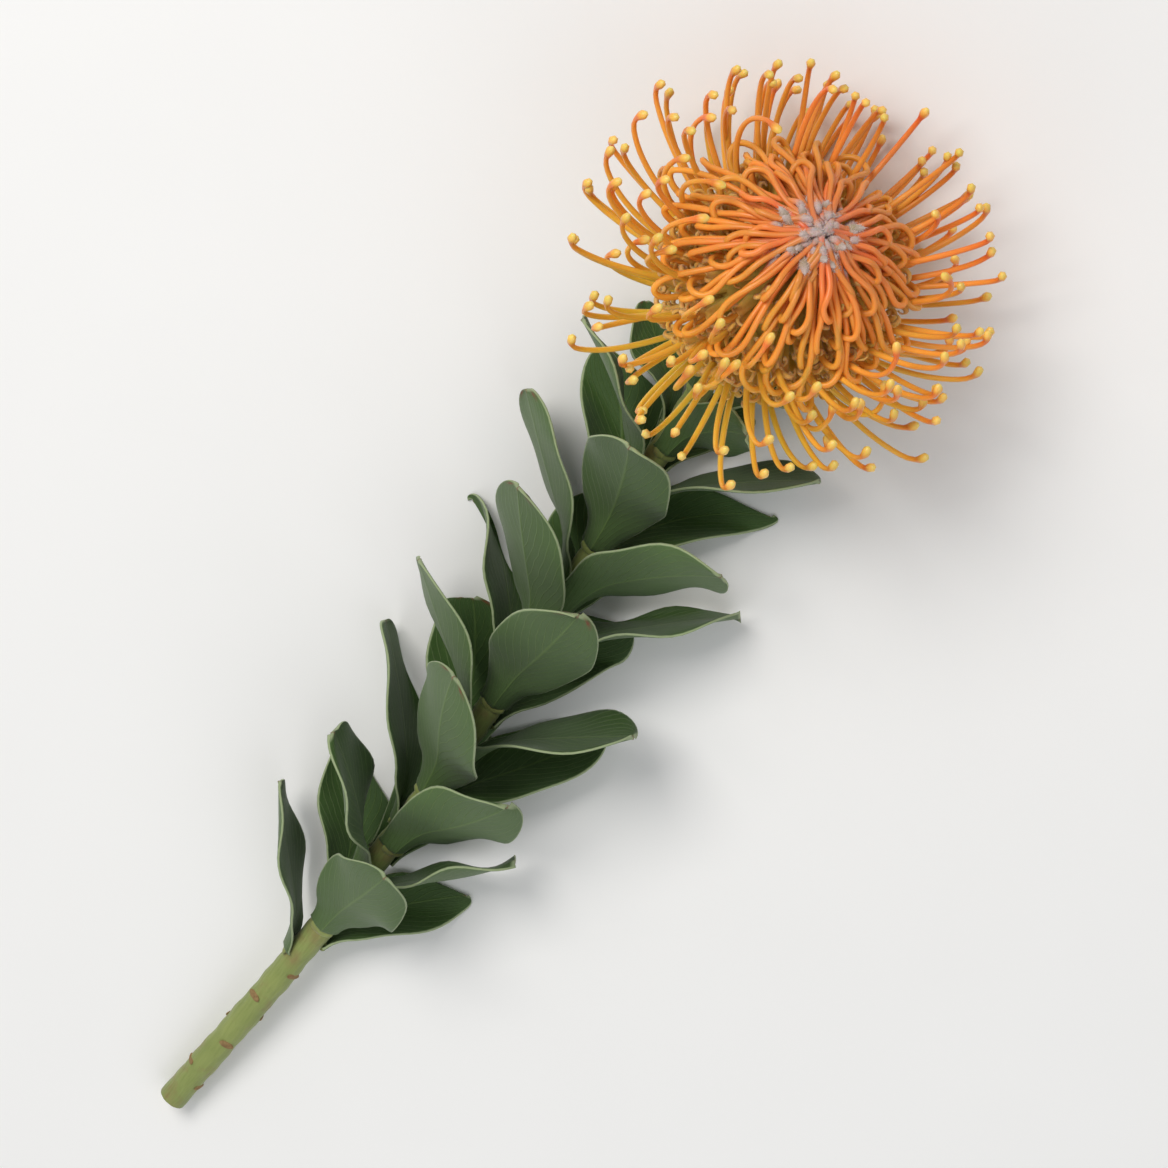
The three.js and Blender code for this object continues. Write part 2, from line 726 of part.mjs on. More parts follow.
function bloomMaterial() {
  return new THREE.MeshStandardMaterial({ color: 0xee7d35, roughness: 0.55, metalness: 0 });
}

function bractMaterial() {
  return new THREE.MeshStandardMaterial({ color: 0x8c9a58, roughness: 0.85, metalness: 0 });
}

function stemMaterial() {
  return new THREE.MeshStandardMaterial({ color: 0x76803f, roughness: 0.75, metalness: 0 });
}

function leafMaterial() {
  return new THREE.MeshStandardMaterial({ color: 0x47643f, roughness: 0.7, metalness: 0 });
}

const group = new THREE.Group();

function place(name, geometry, material) {
  const mesh = new THREE.Mesh(geometry, material);
  mesh.name = name;
  group.add(mesh);
}

place('stem', makeStem(), stemMaterial());
place('involucral_bracts', makeBractCup(), bractMaterial());
place('flower_head', makeHead(), bloomMaterial());
for (let number = 1; number <= LEAF_COUNT; number += 1) {
  place(`leaf_${String(number).padStart(2, '0')}`, makeLeaf(number), leafMaterial());
}

export default group;
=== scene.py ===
# %% [markdown]
# A cut pincushion protea, lying on a pale table.
# The real thing is a woody stem with leathery leaves in a spiral, and one flower head of some two
# hundred and fifty narrow florets. Each floret is a long waxy style. The lower styles have sprung
# free and point outwards and up. Higher up the tips are still held, so their styles stand in tight
# loops. The ones at the top haven't opened and look like woolly fingers.
# Everything here is metres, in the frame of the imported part, which is loaded first and never moved.

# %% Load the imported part
import math

import bmesh
import bpy
from mathutils import Matrix, Vector


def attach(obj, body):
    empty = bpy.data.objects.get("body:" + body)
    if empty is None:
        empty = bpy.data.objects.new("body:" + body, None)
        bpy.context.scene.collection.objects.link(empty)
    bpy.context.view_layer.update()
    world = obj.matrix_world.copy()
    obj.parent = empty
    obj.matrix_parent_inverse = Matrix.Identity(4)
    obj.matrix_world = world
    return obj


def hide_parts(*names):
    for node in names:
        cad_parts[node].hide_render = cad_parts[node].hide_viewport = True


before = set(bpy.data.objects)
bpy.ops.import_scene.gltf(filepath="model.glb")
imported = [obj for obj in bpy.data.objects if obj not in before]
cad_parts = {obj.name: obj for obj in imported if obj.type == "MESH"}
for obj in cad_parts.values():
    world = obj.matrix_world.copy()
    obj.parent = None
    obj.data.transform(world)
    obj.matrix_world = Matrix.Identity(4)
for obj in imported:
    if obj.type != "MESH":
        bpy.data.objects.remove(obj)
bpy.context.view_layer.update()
MM = 0.001
print("nodes in the packed part:", len(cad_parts))

# %% [markdown]
# The camera looks down on the laid flower, tipped past the vertical so that it looks into the head
# much as one looks at a flower in a bunch. It is rolled, so that the long stem runs across the square
# picture from corner to corner and the head is shown larger. A long lens keeps the stem and the
# head, which is nearer to it, in natural proportion.

# %% Camera
CAMERA_ELEVATION = 108
CAMERA_ROLL = 36
CAMERA_DISTANCE = 1.25
CAMERA_TARGET = Vector((0.0047, 0.0248, 0.031))
CAMERA_LENS_MM = 147

rise = math.radians(CAMERA_ELEVATION)
towards_camera = Vector((0, -math.cos(rise), math.sin(rise)))
camera_right = Matrix.Rotation(math.radians(CAMERA_ROLL), 3, towards_camera) @ Vector((1, 0, 0))
camera_up = towards_camera.cross(camera_right)
camera_data = bpy.data.cameras.new("camera")
camera_data.lens = CAMERA_LENS_MM
camera = bpy.data.objects.new("camera", camera_data)
camera.location = CAMERA_TARGET + towards_camera * CAMERA_DISTANCE
camera.rotation_euler = Matrix((camera_right, camera_up, towards_camera)).transposed().to_euler()
bpy.context.scene.collection.objects.link(camera)
bpy.context.scene.camera = camera
print("camera at", [round(v, 3) for v in camera.location])

# %% [markdown]
# Colours are written as they look on a screen, in hex, and one function turns them into the linear
# values that a shader wants. One more function adds any node, in a material or in a geometry tree,
# with its settings, its socket values and its links, so that a whole tree reads as a list.

# %% Colour and node helpers
def linear(code):
    """A screen colour such as f08030 as linear red, green and blue, with full alpha."""
    channels = [int(code[i : i + 2], 16) / 255 for i in (0, 2, 4)]
    return (*[c / 12.92 if c <= 0.04045 else ((c + 0.055) / 1.055) ** 2.4 for c in channels], 1.0)


def feed(tree, node, inputs):
    """Sets a node's inputs, each to a value or to the socket that drives it."""
    for name, value in inputs.items():
        if isinstance(value, bpy.types.NodeSocket):
            tree.links.new(value, node.inputs[name])
        else:
            node.inputs[name].default_value = value


def add(tree, kind, inputs=None, stops=None, out=None, **settings):
    """A new node, fed and set. Returns the node, or the output that is asked for."""
    node = tree.nodes.new(kind)
    for name, value in settings.items():
        setattr(node, name, value)
    feed(tree, node, inputs or {})
    for i, (place, code) in enumerate(stops or []):
        ramp = node.color_ramp.elements
        stop = ramp[i] if i < 2 else ramp.new(place)
        stop.position = place
        stop.color = linear(code)
    return node if out is None else node.outputs[out]


def surface(name):
    """A new material, its tree, its Principled shader, and the coordinates that patterns lie on."""
    material = bpy.data.materials.new(name)
    material.use_nodes = True
    tree = material.node_tree
    return material, tree, tree.nodes["Principled BSDF"], add(tree, "ShaderNodeTexCoord", out="Object")


print("node helpers ready")

# %% [markdown]
# The flower grows by rules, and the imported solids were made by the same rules, so the finer pieces
# land where their solids are. The first helpers blend numbers and give repeatable chance: the same
# item and purpose always give the same number, in any program.

# %% Chance and blending
# Each thing that is left to chance has its own number, so that no two of them go together.
PURPOSES = {
    "floret angle": 1, "lean": 2, "hook": 3, "bend": 4, "style length": 5, "swirl": 6, "reach": 7,
    "opening": 8, "tip angle": 9, "bud length": 10, "bud angle": 11, "turn": 12, "tip": 13,
    "stray": 14, "stray angle": 15, "lift": 16, "dip": 17, "leaf azimuth": 21, "leaf length": 22,
    "leaf width": 23, "leaf opening": 24, "leaf twist": 25, "leaf curl": 26, "leaf wave": 27,
    "wave phase": 28, "leaf cup": 29, "style tone": 31, "held length": 32, "tip curl": 33,
    "kept": 40, "sheath length": 51, "sheath tone": 52, "lobe turn": 53, "lobe roll": 54,
    "lobe length": 55, "lobe tone": 56, "bud girth": 57, "bud tone": 58, "teeth": 60, "leaf tone": 61,
}


def chance(item, purpose):
    """A repeatable number from 0 to 1 for one item and one purpose."""
    wave = math.sin(item * 12.9898 + PURPOSES[purpose] * 78.233) * 43758.5453
    return wave - math.floor(wave)


def spread(item, purpose, half_range):
    return (2 * chance(item, purpose) - 1) * half_range


def mix(start, end, share):
    return start + (end - start) * share


def ease(share):
    held = min(1.0, max(0.0, share))
    return held * held * (3 - 2 * held)


def rest_on_table(height, clearance, softness):
    """Lifts a height that would pass through the table, with a soft bend."""
    above = height - clearance
    return clearance + (above + math.sqrt(above * above + softness * softness)) / 2


GOLDEN_ANGLE = math.radians(137.508)
print("first chances:", [round(chance(i, "floret angle"), 3) for i in range(3)])

# %% [markdown]
# The head has its own axis, which leaves the stem at an angle. Every place on the head is given by
# its distance off that axis, its angle round it and its height up it. Sizes are in millimetres until
# a mesh is made, and turn into metres there.

# %% The head's axis and its egg-shaped core
HEAD_TILT = math.radians(48)
HEAD_LEAN = math.radians(3)
HEAD_BASE = Vector((-2, 107, 20.5))
CORE_RADIUS = 20.5
CORE_HEIGHT = 53
ALONG_THE_TABLE = math.cos(HEAD_LEAN) * math.cos(HEAD_TILT)

head_axis = Vector((math.sin(HEAD_LEAN), ALONG_THE_TABLE, math.cos(HEAD_LEAN) * math.sin(HEAD_TILT)))
head_side = -Vector((0, 0, 1)).cross(head_axis).normalized()
head_down = head_axis.cross(head_side).normalized()


def head_point(radius, angle, height):
    """A place on the head, in millimetres."""
    outward = head_side * math.cos(angle) + head_down * math.sin(angle)
    return HEAD_BASE + outward * radius + head_axis * height


def core_place(level, lifted):
    """Distance off the axis and height up it. Level -1 is the core's foot and +1 its apex."""
    held = min(0.999, max(-0.999, level))
    girth = math.sqrt(1 - held * held)
    radial = girth / CORE_RADIUS
    axial = held / (CORE_HEIGHT / 2)
    size = math.hypot(radial, axial)
    radius = CORE_RADIUS * girth + lifted * radial / size
    return radius, CORE_HEIGHT / 2 * (1 + held) + lifted * axial / size


print("apex at", [round(v, 1) for v in head_point(0, 0, CORE_HEIGHT)])

# %% [markdown]
# Florets stand in one golden-angle spiral from the foot of the head to its apex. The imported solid
# has a floret at every whole number. A real head is fuller, so another one stands at nearly all half
# numbers, a little shorter than its neighbours. Fewer are added towards the apex, where all the held
# styles meet, so that each loop still shows as a loop.

# %% Where each floret stands
FLORETS = 144
ANGLE_SPREAD = 0.06
EXTRA_KEPT = 0.95
LOW_LOOPS_KEPT, TOP_LOOPS_KEPT = 0.86, 0.28
EXTRA_LENGTH = 0.95
# A zone's row: its name, its first and last share of the florets, its lowest and highest level.
ZONES = [
    ("free", 0, 0.5, -0.96, 0.08),
    ("looped", 0.5, 0.93, 0.08, 0.9),
    ("closed", 0.93, 1, 0.955, 0.995),
]


def floret(index):
    share = (index + 0.5) / FLORETS
    zone, start, end, foot, top = next(row for row in ZONES if share < row[2])
    up = (share - start) / (end - start)
    angle = index * GOLDEN_ANGLE + spread(index, "floret angle", ANGLE_SPREAD)
    extra = index != int(index)
    place = {"up": up, "level": mix(foot, top, up), "angle": angle}
    return {"index": index, "zone": zone, "extra": extra, **place}


def kept(flower):
    looped = flower["zone"] == "looped"
    share = mix(LOW_LOOPS_KEPT, TOP_LOOPS_KEPT, flower["up"]) if looped else EXTRA_KEPT
    return not flower["extra"] or chance(2 * flower["index"], "kept") < share


every_floret = [floret(half / 2) for half in range(2 * FLORETS - 1)]
florets = [flower for flower in every_floret if kept(flower)]
in_zone = {row[0]: [f for f in florets if f["zone"] == row[0]] for row in ZONES}
print("florets:", {zone: len(members) for zone, members in in_zone.items()})

# %% [markdown]
# A free style leaves the core, runs outwards and bends up towards its tip, and a few tips hook
# right over. The path is walked in short steps, turning a little more at each one.

# %% The path of a free style
STYLE_RADIUS = 0.85
STYLE_LENGTH = 50
PATH_STEPS = 24
ROOT_DEPTH = 4
LOW_LEAN, HIGH_LEAN, LEAN_SPREAD, LEAN_POWER = -13, 34, 7, 0.9
LOW_BEND, HIGH_BEND, BEND_SPREAD = 66, 62, 16
BEND_DELAY = 2.1
HOOKED_FROM = 0.84
HOOK_BEND = 55
LOW_LENGTH, HIGH_LENGTH, LENGTH_SPREAD = 1.03, 0.9, 0.05
SWIRL_SPREAD = 0.12
STYLE_SOFTNESS = 0.8


def free_path(flower):
    index, up = flower["index"], flower["up"]
    radius, height = core_place(flower["level"], -ROOT_DEPTH)
    lean = mix(LOW_LEAN, HIGH_LEAN, up**LEAN_POWER) + spread(index, "lean", LEAN_SPREAD)
    hooked = HOOK_BEND if chance(index, "hook") > HOOKED_FROM else 0
    bend = mix(LOW_BEND, HIGH_BEND, up) + spread(index, "bend", BEND_SPREAD) + hooked
    length = STYLE_LENGTH * mix(LOW_LENGTH, HIGH_LENGTH, up)
    length *= 1 + spread(index, "style length", LENGTH_SPREAD)
    step = length * (EXTRA_LENGTH if flower["extra"] else 1) / PATH_STEPS
    swirl = spread(index, "swirl", SWIRL_SPREAD)
    path = []
    for i in range(PATH_STEPS + 1):
        run = i / PATH_STEPS
        point = head_point(radius, flower["angle"] + swirl * run * run, height)
        point.z = rest_on_table(point.z, STYLE_RADIUS, STYLE_SOFTNESS)
        path.append(point)
        lean_now = math.radians(lean) + math.radians(bend) * ((i + 0.5) / PATH_STEPS) ** BEND_DELAY
        radius += step * math.cos(lean_now)
        height += step * math.sin(lean_now)
    return path


print("first style ends at", [round(v, 1) for v in free_path(florets[0])[-1]])

# %% [markdown]
# A held style comes out of the core, runs outwards, turns tightly like a hairpin and runs back over
# the dome to the apex, where the woolly end of its floret still grips the tip. Nine stations give
# its course, and a smooth curve goes through them. The curve is the centripetal kind, which doesn't
# overshoot in the turn. The held ends stray more than their solids do, as they do on a real head,
# where no two meet the apex alike.

# %% The path of a looped style
LOOP_STEPS = 36
SOFTENING_ROUNDS = 5
LOOP_REACH, TOP_REACH, REACH_SPREAD, REACH_POWER = 38, 18, 1.5, 0.9
LOW_TURN, TOP_TURN, TURN_SPREAD = 31, 52, 1
HALF_TURN = 2.4
TURN_LEAD = 3
SOFTENED_BY = 1.2
LOW_TIP, TOP_TIP, TIP_SPREAD, TIP_POWER = 12, 3, 0.6, 0.7
TIP_ANGLE_SPREAD = 0.1
TIP_LEAD = 1
NECK_LENGTH = 6
NECK_ABOVE_CAP, TIP_ABOVE_CAP = 1, 0.8
ARCH = 1.8
OPENING_SPREAD = 0.14
CAP_TOP = 57.5
CAP_SPREAD = 25
STRAY = 2.4
LIFT_SPREAD = 1.4
DEEP_DIP, SHALLOW_DIP = 3.2, -0.2
LAST_STEP = 1.8


def smooth_curve(stations, steps):
    """A centripetal Catmull-Rom curve through the stations."""
    ends = [2 * stations[0] - stations[1], *stations, 2 * stations[-1] - stations[-2]]
    spans = len(stations) - 1
    curve = []
    for k in range(steps + 1):
        place = k / steps * spans
        i = min(int(place), spans - 1)
        t = place - i
        p0, p1, p2, p3 = ends[i : i + 4]
        gap0, gap1, gap2 = [max(1e-4, (b - a).length ** 0.5) for a, b in ((p0, p1), (p1, p2), (p2, p3))]
        slope1 = ((p1 - p0) / gap0 - (p2 - p0) / (gap0 + gap1) + (p2 - p1) / gap1) * gap1
        slope2 = ((p2 - p1) / gap1 - (p3 - p1) / (gap1 + gap2) + (p3 - p2) / gap2) * gap1
        rest = -3 * p1 + 3 * p2 - 2 * slope1 - slope2
        cube = 2 * p1 - 2 * p2 + slope1 + slope2
        curve.append(p1 + slope1 * t + rest * t * t + cube * t * t * t)
    return curve


def softened(path, rounds):
    """The same path with rounder turns. Both its ends stay."""
    for _ in range(rounds):
        inner = [(a + 2 * b + c) / 4 for a, b, c in zip(path, path[1:], path[2:])]
        path = [path[0], *inner, path[-1]]
    return path


def cap_height(radius):
    """The height of the woolly ends over the apex, at a distance off the axis."""
    return CAP_TOP - radius * radius / CAP_SPREAD


def loop_path(flower):
    index, up, angle = flower["index"], flower["up"], flower["angle"]
    reach = mix(LOOP_REACH, TOP_REACH, up**REACH_POWER) + spread(index, "reach", REACH_SPREAD)
    reach = (reach + SOFTENED_BY) * (EXTRA_LENGTH if flower["extra"] else 1)
    turn = mix(LOW_TURN, TOP_TURN, up) + spread(index, "turn", TURN_SPREAD)
    tip = mix(LOW_TIP, TOP_TIP, up**TIP_POWER) + spread(index, "tip", TIP_SPREAD)
    neck = tip + NECK_LENGTH
    opening = spread(index, "opening", OPENING_SPREAD)
    tip_angle = angle + spread(index, "tip angle", TIP_ANGLE_SPREAD)
    strayed = tip + spread(index, "stray", STRAY) - TIP_LEAD
    strayed_angle = tip_angle + spread(index, "stray angle", STRAY) / max(STRAY, strayed)
    lift = spread(index, "lift", LIFT_SPREAD)
    dip = mix(DEEP_DIP, SHALLOW_DIP, chance(index, "dip"))
    root_radius, root_height = core_place(flower["level"], -ROOT_DEPTH)
    above = turn + HALF_TURN
    half_way = mix(angle + opening, tip_angle, 0.5)
    end_height = cap_height(tip) + TIP_ABOVE_CAP + lift
    stations = [
        (root_radius, angle - opening, root_height),
        (mix(root_radius, reach, 0.5), angle - opening, mix(root_height, turn, 0.5) - ARCH),
        (reach - TURN_LEAD, angle - opening, turn - HALF_TURN),
        (reach, angle, turn),
        (reach - TURN_LEAD, angle + opening, above),
        (mix(reach, neck, 0.5), half_way, mix(above, cap_height(neck), 0.5) + ARCH),
        (neck, tip_angle, cap_height(neck) + NECK_ABOVE_CAP + lift / 2),
        (strayed, strayed_angle, end_height),
        (strayed - LAST_STEP, strayed_angle, end_height - dip),
    ]
    curve = smooth_curve([head_point(*station) for station in stations], LOOP_STEPS)
    return softened(curve, SOFTENING_ROUNDS)


first_loop = loop_path(in_zone["looped"][0])
print("first loop reaches", round(max((p - HEAD_BASE).length for p in first_loop), 1), "mm")

# %% [markdown]
# Hundreds of strands follow paths, so one geometry tree makes them all. A strand is drawn as a
# chain of edges whose points carry their thickness and their place along it. The tree turns the
# chains into curves, sweeps a ring along them and gives the skin its material.

# %% The tree that sweeps strands
def new_tree(name, inputs):
    """A geometry tree with a geometry socket at each end and named inputs."""
    tree = bpy.data.node_groups.new(name, "GeometryNodeTree")
    tree.interface.new_socket("Geometry", in_out="INPUT", socket_type="NodeSocketGeometry")
    tree.interface.new_socket("Geometry", in_out="OUTPUT", socket_type="NodeSocketGeometry")
    for label, kind in inputs.items():
        tree.interface.new_socket(label, in_out="INPUT", socket_type=kind)
    return tree, add(tree, "NodeGroupInput").outputs, add(tree, "NodeGroupOutput")


def end_tree(tree, result, shape, material):
    """Makes the instances in a tree real, gives all its faces their material and hands them on."""
    realized = add(tree, "GeometryNodeRealizeInstances", {"Geometry": shape}, out=0)
    coated = {"Geometry": realized, "Material": material}
    feed(tree, result, {"Geometry": add(tree, "GeometryNodeSetMaterial", coated, out=0)})


SWEEP_INPUTS = {"Sides": "NodeSocketInt", "Flatness": "NodeSocketFloat"}
SWEEP_INPUTS |= {"Material": "NodeSocketMaterial"}
sweep, given, result = new_tree("sweep_strands", SWEEP_INPUTS)
chains = add(sweep, "GeometryNodeMeshToCurve", {"Mesh": given["Geometry"]}, out="Curve")
girth = add(sweep, "GeometryNodeInputNamedAttribute", {"Name": "girth"}, out="Attribute")
ring_inputs = {"Resolution": given["Sides"], "Radius": 1.0}
ring = add(sweep, "GeometryNodeCurvePrimitiveCircle", ring_inputs, out="Curve")
oval = add(sweep, "ShaderNodeCombineXYZ", {"X": 1.0, "Y": given["Flatness"], "Z": 1.0}, out=0)
profile = add(sweep, "GeometryNodeTransform", {"Geometry": ring, "Scale": oval}, out=0)
skin_inputs = {"Curve": chains, "Profile Curve": profile, "Scale": girth, "Fill Caps": True}
skin = add(sweep, "GeometryNodeCurveToMesh", skin_inputs, out="Mesh")
smooth = add(sweep, "GeometryNodeSetShadeSmooth", {"Geometry": skin}, out=0)
end_tree(sweep, result, smooth, given["Material"])
print("sweep tree:", len(sweep.nodes), "nodes")

# %% [markdown]
# Helpers run a tree. The first puts an object in the scene. The next sets each named input by its
# socket's identifier, evaluates the piece once and keeps the outcome as a plain mesh, because only
# plain meshes are handed on. The last two draw the chains and sweep them.

# %% Running a tree
def linked(name, mesh):
    piece = bpy.data.objects.new(name, mesh)
    bpy.context.scene.collection.objects.link(piece)
    return piece


def grown(name, mesh, tree, inputs):
    """The plain piece that a geometry tree makes from a mesh."""
    seed = linked(name + "_seed", mesh)
    modifier = seed.modifiers.new("tree", "NODES")
    modifier.node_group = tree
    sockets = {s.name: s.identifier for s in tree.interface.items_tree if s.in_out == "INPUT"}
    for label, value in inputs.items():
        modifier[sockets[label]] = value
    evaluated = seed.evaluated_get(bpy.context.evaluated_depsgraph_get())
    plain = bpy.data.meshes.new_from_object(evaluated)
    plain.name = name
    bpy.data.objects.remove(seed)
    plain.calc_loop_triangles()
    print(name, len(plain.loop_triangles), "triangles")
    return linked(name, plain)


def chained(name, strands):
    """A mesh of edge chains. A strand is its points in mm and its attributes.

    An attribute is a list with a number for each point, or one number for the whole strand.
    """
    points, edges = [], []
    columns = {key: [] for key in strands[0][1]}
    for path, values in strands:
        start = len(points)
        points.extend(point * MM for point in path)
        edges.extend((start + i, start + i + 1) for i in range(len(path) - 1))
        for key, column in columns.items():
            column.extend(values[key] if isinstance(values[key], list) else [values[key]] * len(path))
    mesh = bpy.data.meshes.new(name)
    mesh.from_pydata(points, edges, [])
    for key, column in columns.items():
        mesh.attributes.new(key, "FLOAT", "POINT").data.foreach_set("value", column)
    return mesh


def swept(name, strands, material, sides=6, flatness=1.0):
    inputs = {"Sides": sides, "Flatness": flatness, "Material": material}
    return grown(name, chained(name + "_chains", strands), sweep, inputs)


print("tree helpers ready")

# %% [markdown]
# A style is living tissue with a thin wax: smooth, softly shining and a little see-through, so
# light that enters one strand glows in the next. It is yellow-green in its sheath, golden further
# out and deep orange before the tip. Lower styles are more golden, and those near the apex coral.
# A free tip is the pollen presenter, a slim club that turns from orange to pale yellow. A held tip
# is wrapped in lilac-grey wool. Each strand has its own tone, kept as an attribute.

# %% Waxy style tissue
STYLE_TRAITS = ("along", "up", "tone", "held")
# The share of painted sheen: pale patches that stand for light on the wax.
PAINTED_SHEEN_SHARE = 0.15


def style_material(name, low_stops, high_stops):
    """Colour along the strand, low on the head and high on it, and wool where it is held."""
    material, tree, shader, place = surface(name)
    traits = [add(tree, "ShaderNodeAttribute", out="Fac", attribute_name=n) for n in STYLE_TRAITS]
    along, up, tone, held = traits
    low = add(tree, "ShaderNodeValToRGB", {"Fac": along}, low_stops, "Color")
    high = add(tree, "ShaderNodeValToRGB", {"Fac": along}, high_stops, "Color")
    colour = add(tree, "ShaderNodeMix", {0: up, 6: low, 7: high}, out=2, data_type="RGBA")
    hue = add(tree, "ShaderNodeMapRange", {"Value": tone, "To Min": 0.492, "To Max": 0.512}, out=0)
    value = add(tree, "ShaderNodeMapRange", {"Value": tone, "To Min": 1.1, "To Max": 0.88}, out=0)
    own = add(tree, "ShaderNodeHueSaturation", {"Hue": hue, "Value": value, "Color": colour}, out=0)
    # Pale noise patches are mixed into the colour as a painted sheen, light on the wax painted in.
    sheen_noise = add(tree, "ShaderNodeTexNoise", {"Vector": place, "Scale": 1 / (2.2 * MM)}, out="Fac")
    lit = add(tree, "ShaderNodeMix", {0: sheen_noise, 6: own, 7: linear("ffc060")}, out=2, data_type="RGBA")
    sheened = add(tree, "ShaderNodeMix", {0: PAINTED_SHEEN_SHARE, 6: own, 7: lit}, out=2, data_type="RGBA")
    fuzz_inputs = {"Vector": place, "Scale": 1 / (0.6 * MM), "Detail": 3.0, "Roughness": 0.7}
    fuzz = add(tree, "ShaderNodeTexNoise", fuzz_inputs, out="Fac")
    lilac = {0: fuzz, 6: linear("8d7050"), 7: linear("e8d2d4")}
    wool = add(tree, "ShaderNodeMix", lilac, out=2, data_type="RGBA")
    whole = add(tree, "ShaderNodeMix", {0: held, 6: sheened, 7: wool}, out=2, data_type="RGBA")
    rough = add(tree, "ShaderNodeMapRange", {"Value": held, "To Min": 0.34, "To Max": 0.9}, out=0)
    relief = {"Height": fuzz, "Distance": 0.05 * MM, "Strength": 0.6}
    normal = add(tree, "ShaderNodeBump", relief, out="Normal")
    feed(tree, shader, {"Base Color": whole, "Roughness": rough, "Normal": normal, "IOR": 1.42})
    feed(tree, shader, {"Specular IOR Level": 0.55, "Subsurface Weight": 0.3})
    feed(tree, shader, {"Subsurface Radius": (1.0, 0.35, 0.1), "Subsurface Scale": 0.8 * MM})
    return material


LOW_FREE = [(0.0, "b4bc48"), (0.16, "ead44c"), (0.4, "ffda4e"), (0.76, "ffc840"), (0.86, "f8a434")]
LOW_FREE += [(0.9, "f08a2e"), (0.94, "f8c050"), (1.0, "fae07c")]
HIGH_FREE = [(0.0, "a8a040"), (0.16, "e0a242"), (0.4, "f6943e"), (0.76, "ee7e38"), (0.86, "e86a30")]
HIGH_FREE += [(0.9, "e2602e"), (0.94, "f4ac48"), (1.0, "f6d468")]
LOW_LOOP = [(0.0, "98883a"), (0.15, "dca43c"), (0.35, "f8b03a"), (0.65, "f49e3a"), (1.0, "e68846")]
HIGH_LOOP = [(0.0, "908034"), (0.15, "d48636"), (0.35, "ee883c"), (0.65, "e87240"), (1.0, "da6850")]
free_style_skin = style_material("waxy_style_tissue_free", LOW_FREE, HIGH_FREE)
looped_style_skin = style_material("waxy_style_tissue_looped", LOW_LOOP, HIGH_LOOP)
print("style materials:", free_style_skin.name, looped_style_skin.name)

# %% [markdown]
# The free styles come first. Each path is drawn out to the end of its club, and the thickness
# swells there. The place along the strand is kept as an attribute, so that the colours above meet
# the right spot on every strand, whatever its length. The last stretch curls on towards the apex,
# each strand's by its own amount, and still reaches as far out. Strands that lie on the table stay
# above it. One side of a head is riper than the other: golden near the stem, and opposite it coral.

# %% Free styles
KNOB_BACK = [4.4, 3.6, 2.7, 1.9, 1.1, 0.4, -0.2, -0.6]
KNOB_GIRTHS = [0.68, 0.78, 1.0, 1.17, 1.24, 1.16, 0.84, 0.32]
KNOB_FROM = 0.86
KNOB_MARGIN = 1.0
CURL_LENGTH = 9
LEAST_CURL, MOST_CURL = 12, 65
MOST_TURNED = 118
REACH_KEPT = 0.9
FREE_ROOT_GIRTH, FREE_NECK_GIRTH = 0.92, 0.68
TABLE_CLEARANCE = 0.1
FREE_SIDE_SHARE, LOOPED_SIDE_SHARE = 0.5, 0.3


def distances(path):
    """Distance along a path to each of its points."""
    gone = [0.0]
    for before, after in zip(path, path[1:]):
        gone.append(gone[-1] + (after - before).length)
    return gone


def coral_share(flower, side_share):
    """How coral a strand is, from its place up the head and its side of it."""
    side = 0.5 + 0.5 * math.sin(flower["angle"])
    return mix(flower["up"], side, side_share)


def off_axis(point):
    """The way from the head's axis out to a point."""
    arm = point - HEAD_BASE
    return arm - head_axis * arm.dot(head_axis)


def curled(points, curl):
    """The same strand with its last stretch bent on, in degrees. It reaches about as far out."""
    outward = off_axis(points[-1]).normalized()
    turned = math.degrees((points[-1] - points[-2]).angle(outward))
    curl = math.radians(max(0, min(curl, MOST_TURNED - turned)))
    gone = distances(points)
    bent = [points[0]]
    for before, after, g in zip(points, points[1:], gone[1:]):
        turn = curl * ease(1 - (gone[-1] - g) / CURL_LENGTH)
        bent.append(bent[-1] + Matrix.Rotation(turn, 3, outward.cross(head_axis)) @ (after - before))
    lost = max(off_axis(p).length for p in points) - max(off_axis(p).length for p in bent)
    return [p + outward * (REACH_KEPT * lost * (g / gone[-1]) ** 2) for p, g in zip(bent, gone)]


def free_strand(flower):
    path = free_path(flower)
    tip = path[-1]
    direction = (path[-1] - path[-3]).normalized()
    shaft = [p for p in path if (p - tip).length > KNOB_BACK[0] + KNOB_MARGIN]
    straight = shaft + [tip - direction * back for back in KNOB_BACK]
    points = curled(straight, mix(LEAST_CURL, MOST_CURL, chance(flower["index"], "tip curl")))
    runs = [KNOB_FROM * i / len(shaft) for i in range(len(shaft))]
    runs += [mix(KNOB_FROM, 1.0, i / (len(KNOB_BACK) - 1)) for i in range(len(KNOB_BACK))]
    girths = [mix(FREE_ROOT_GIRTH, FREE_NECK_GIRTH, i / len(shaft)) for i in range(len(shaft))]
    girths += KNOB_GIRTHS
    for point, girth_here in zip(points, girths):
        point.z = max(point.z, girth_here + TABLE_CLEARANCE)
    values = {"girth": [g * MM for g in girths], "along": runs, "held": 0.0}
    values["up"] = coral_share(flower, FREE_SIDE_SHARE)
    values["tone"] = chance(flower["index"], "style tone")
    return points, values


free_styles = swept("free_styles", [free_strand(f) for f in in_zone["free"]], free_style_skin)

# %% [markdown]
# The looped styles use the same tree. Their last few millimetres are gripped by the woolly end of
# the floret, so the strand swells there into a soft club with a blunt end. Distances are measured
# back from the tip, because the loops differ much in length.

# %% Looped styles
LOOP_ROOT_GIRTH, LOOP_NECK_GIRTH = 0.92, 0.78
HELD_LENGTH, HELD_SPREAD = 4.0, 1.2
HELD_FADE = 1.8
HELD_GIRTH = 1.05
BLUNT_LENGTH, BLUNT_SHARE = 1.3, 0.4


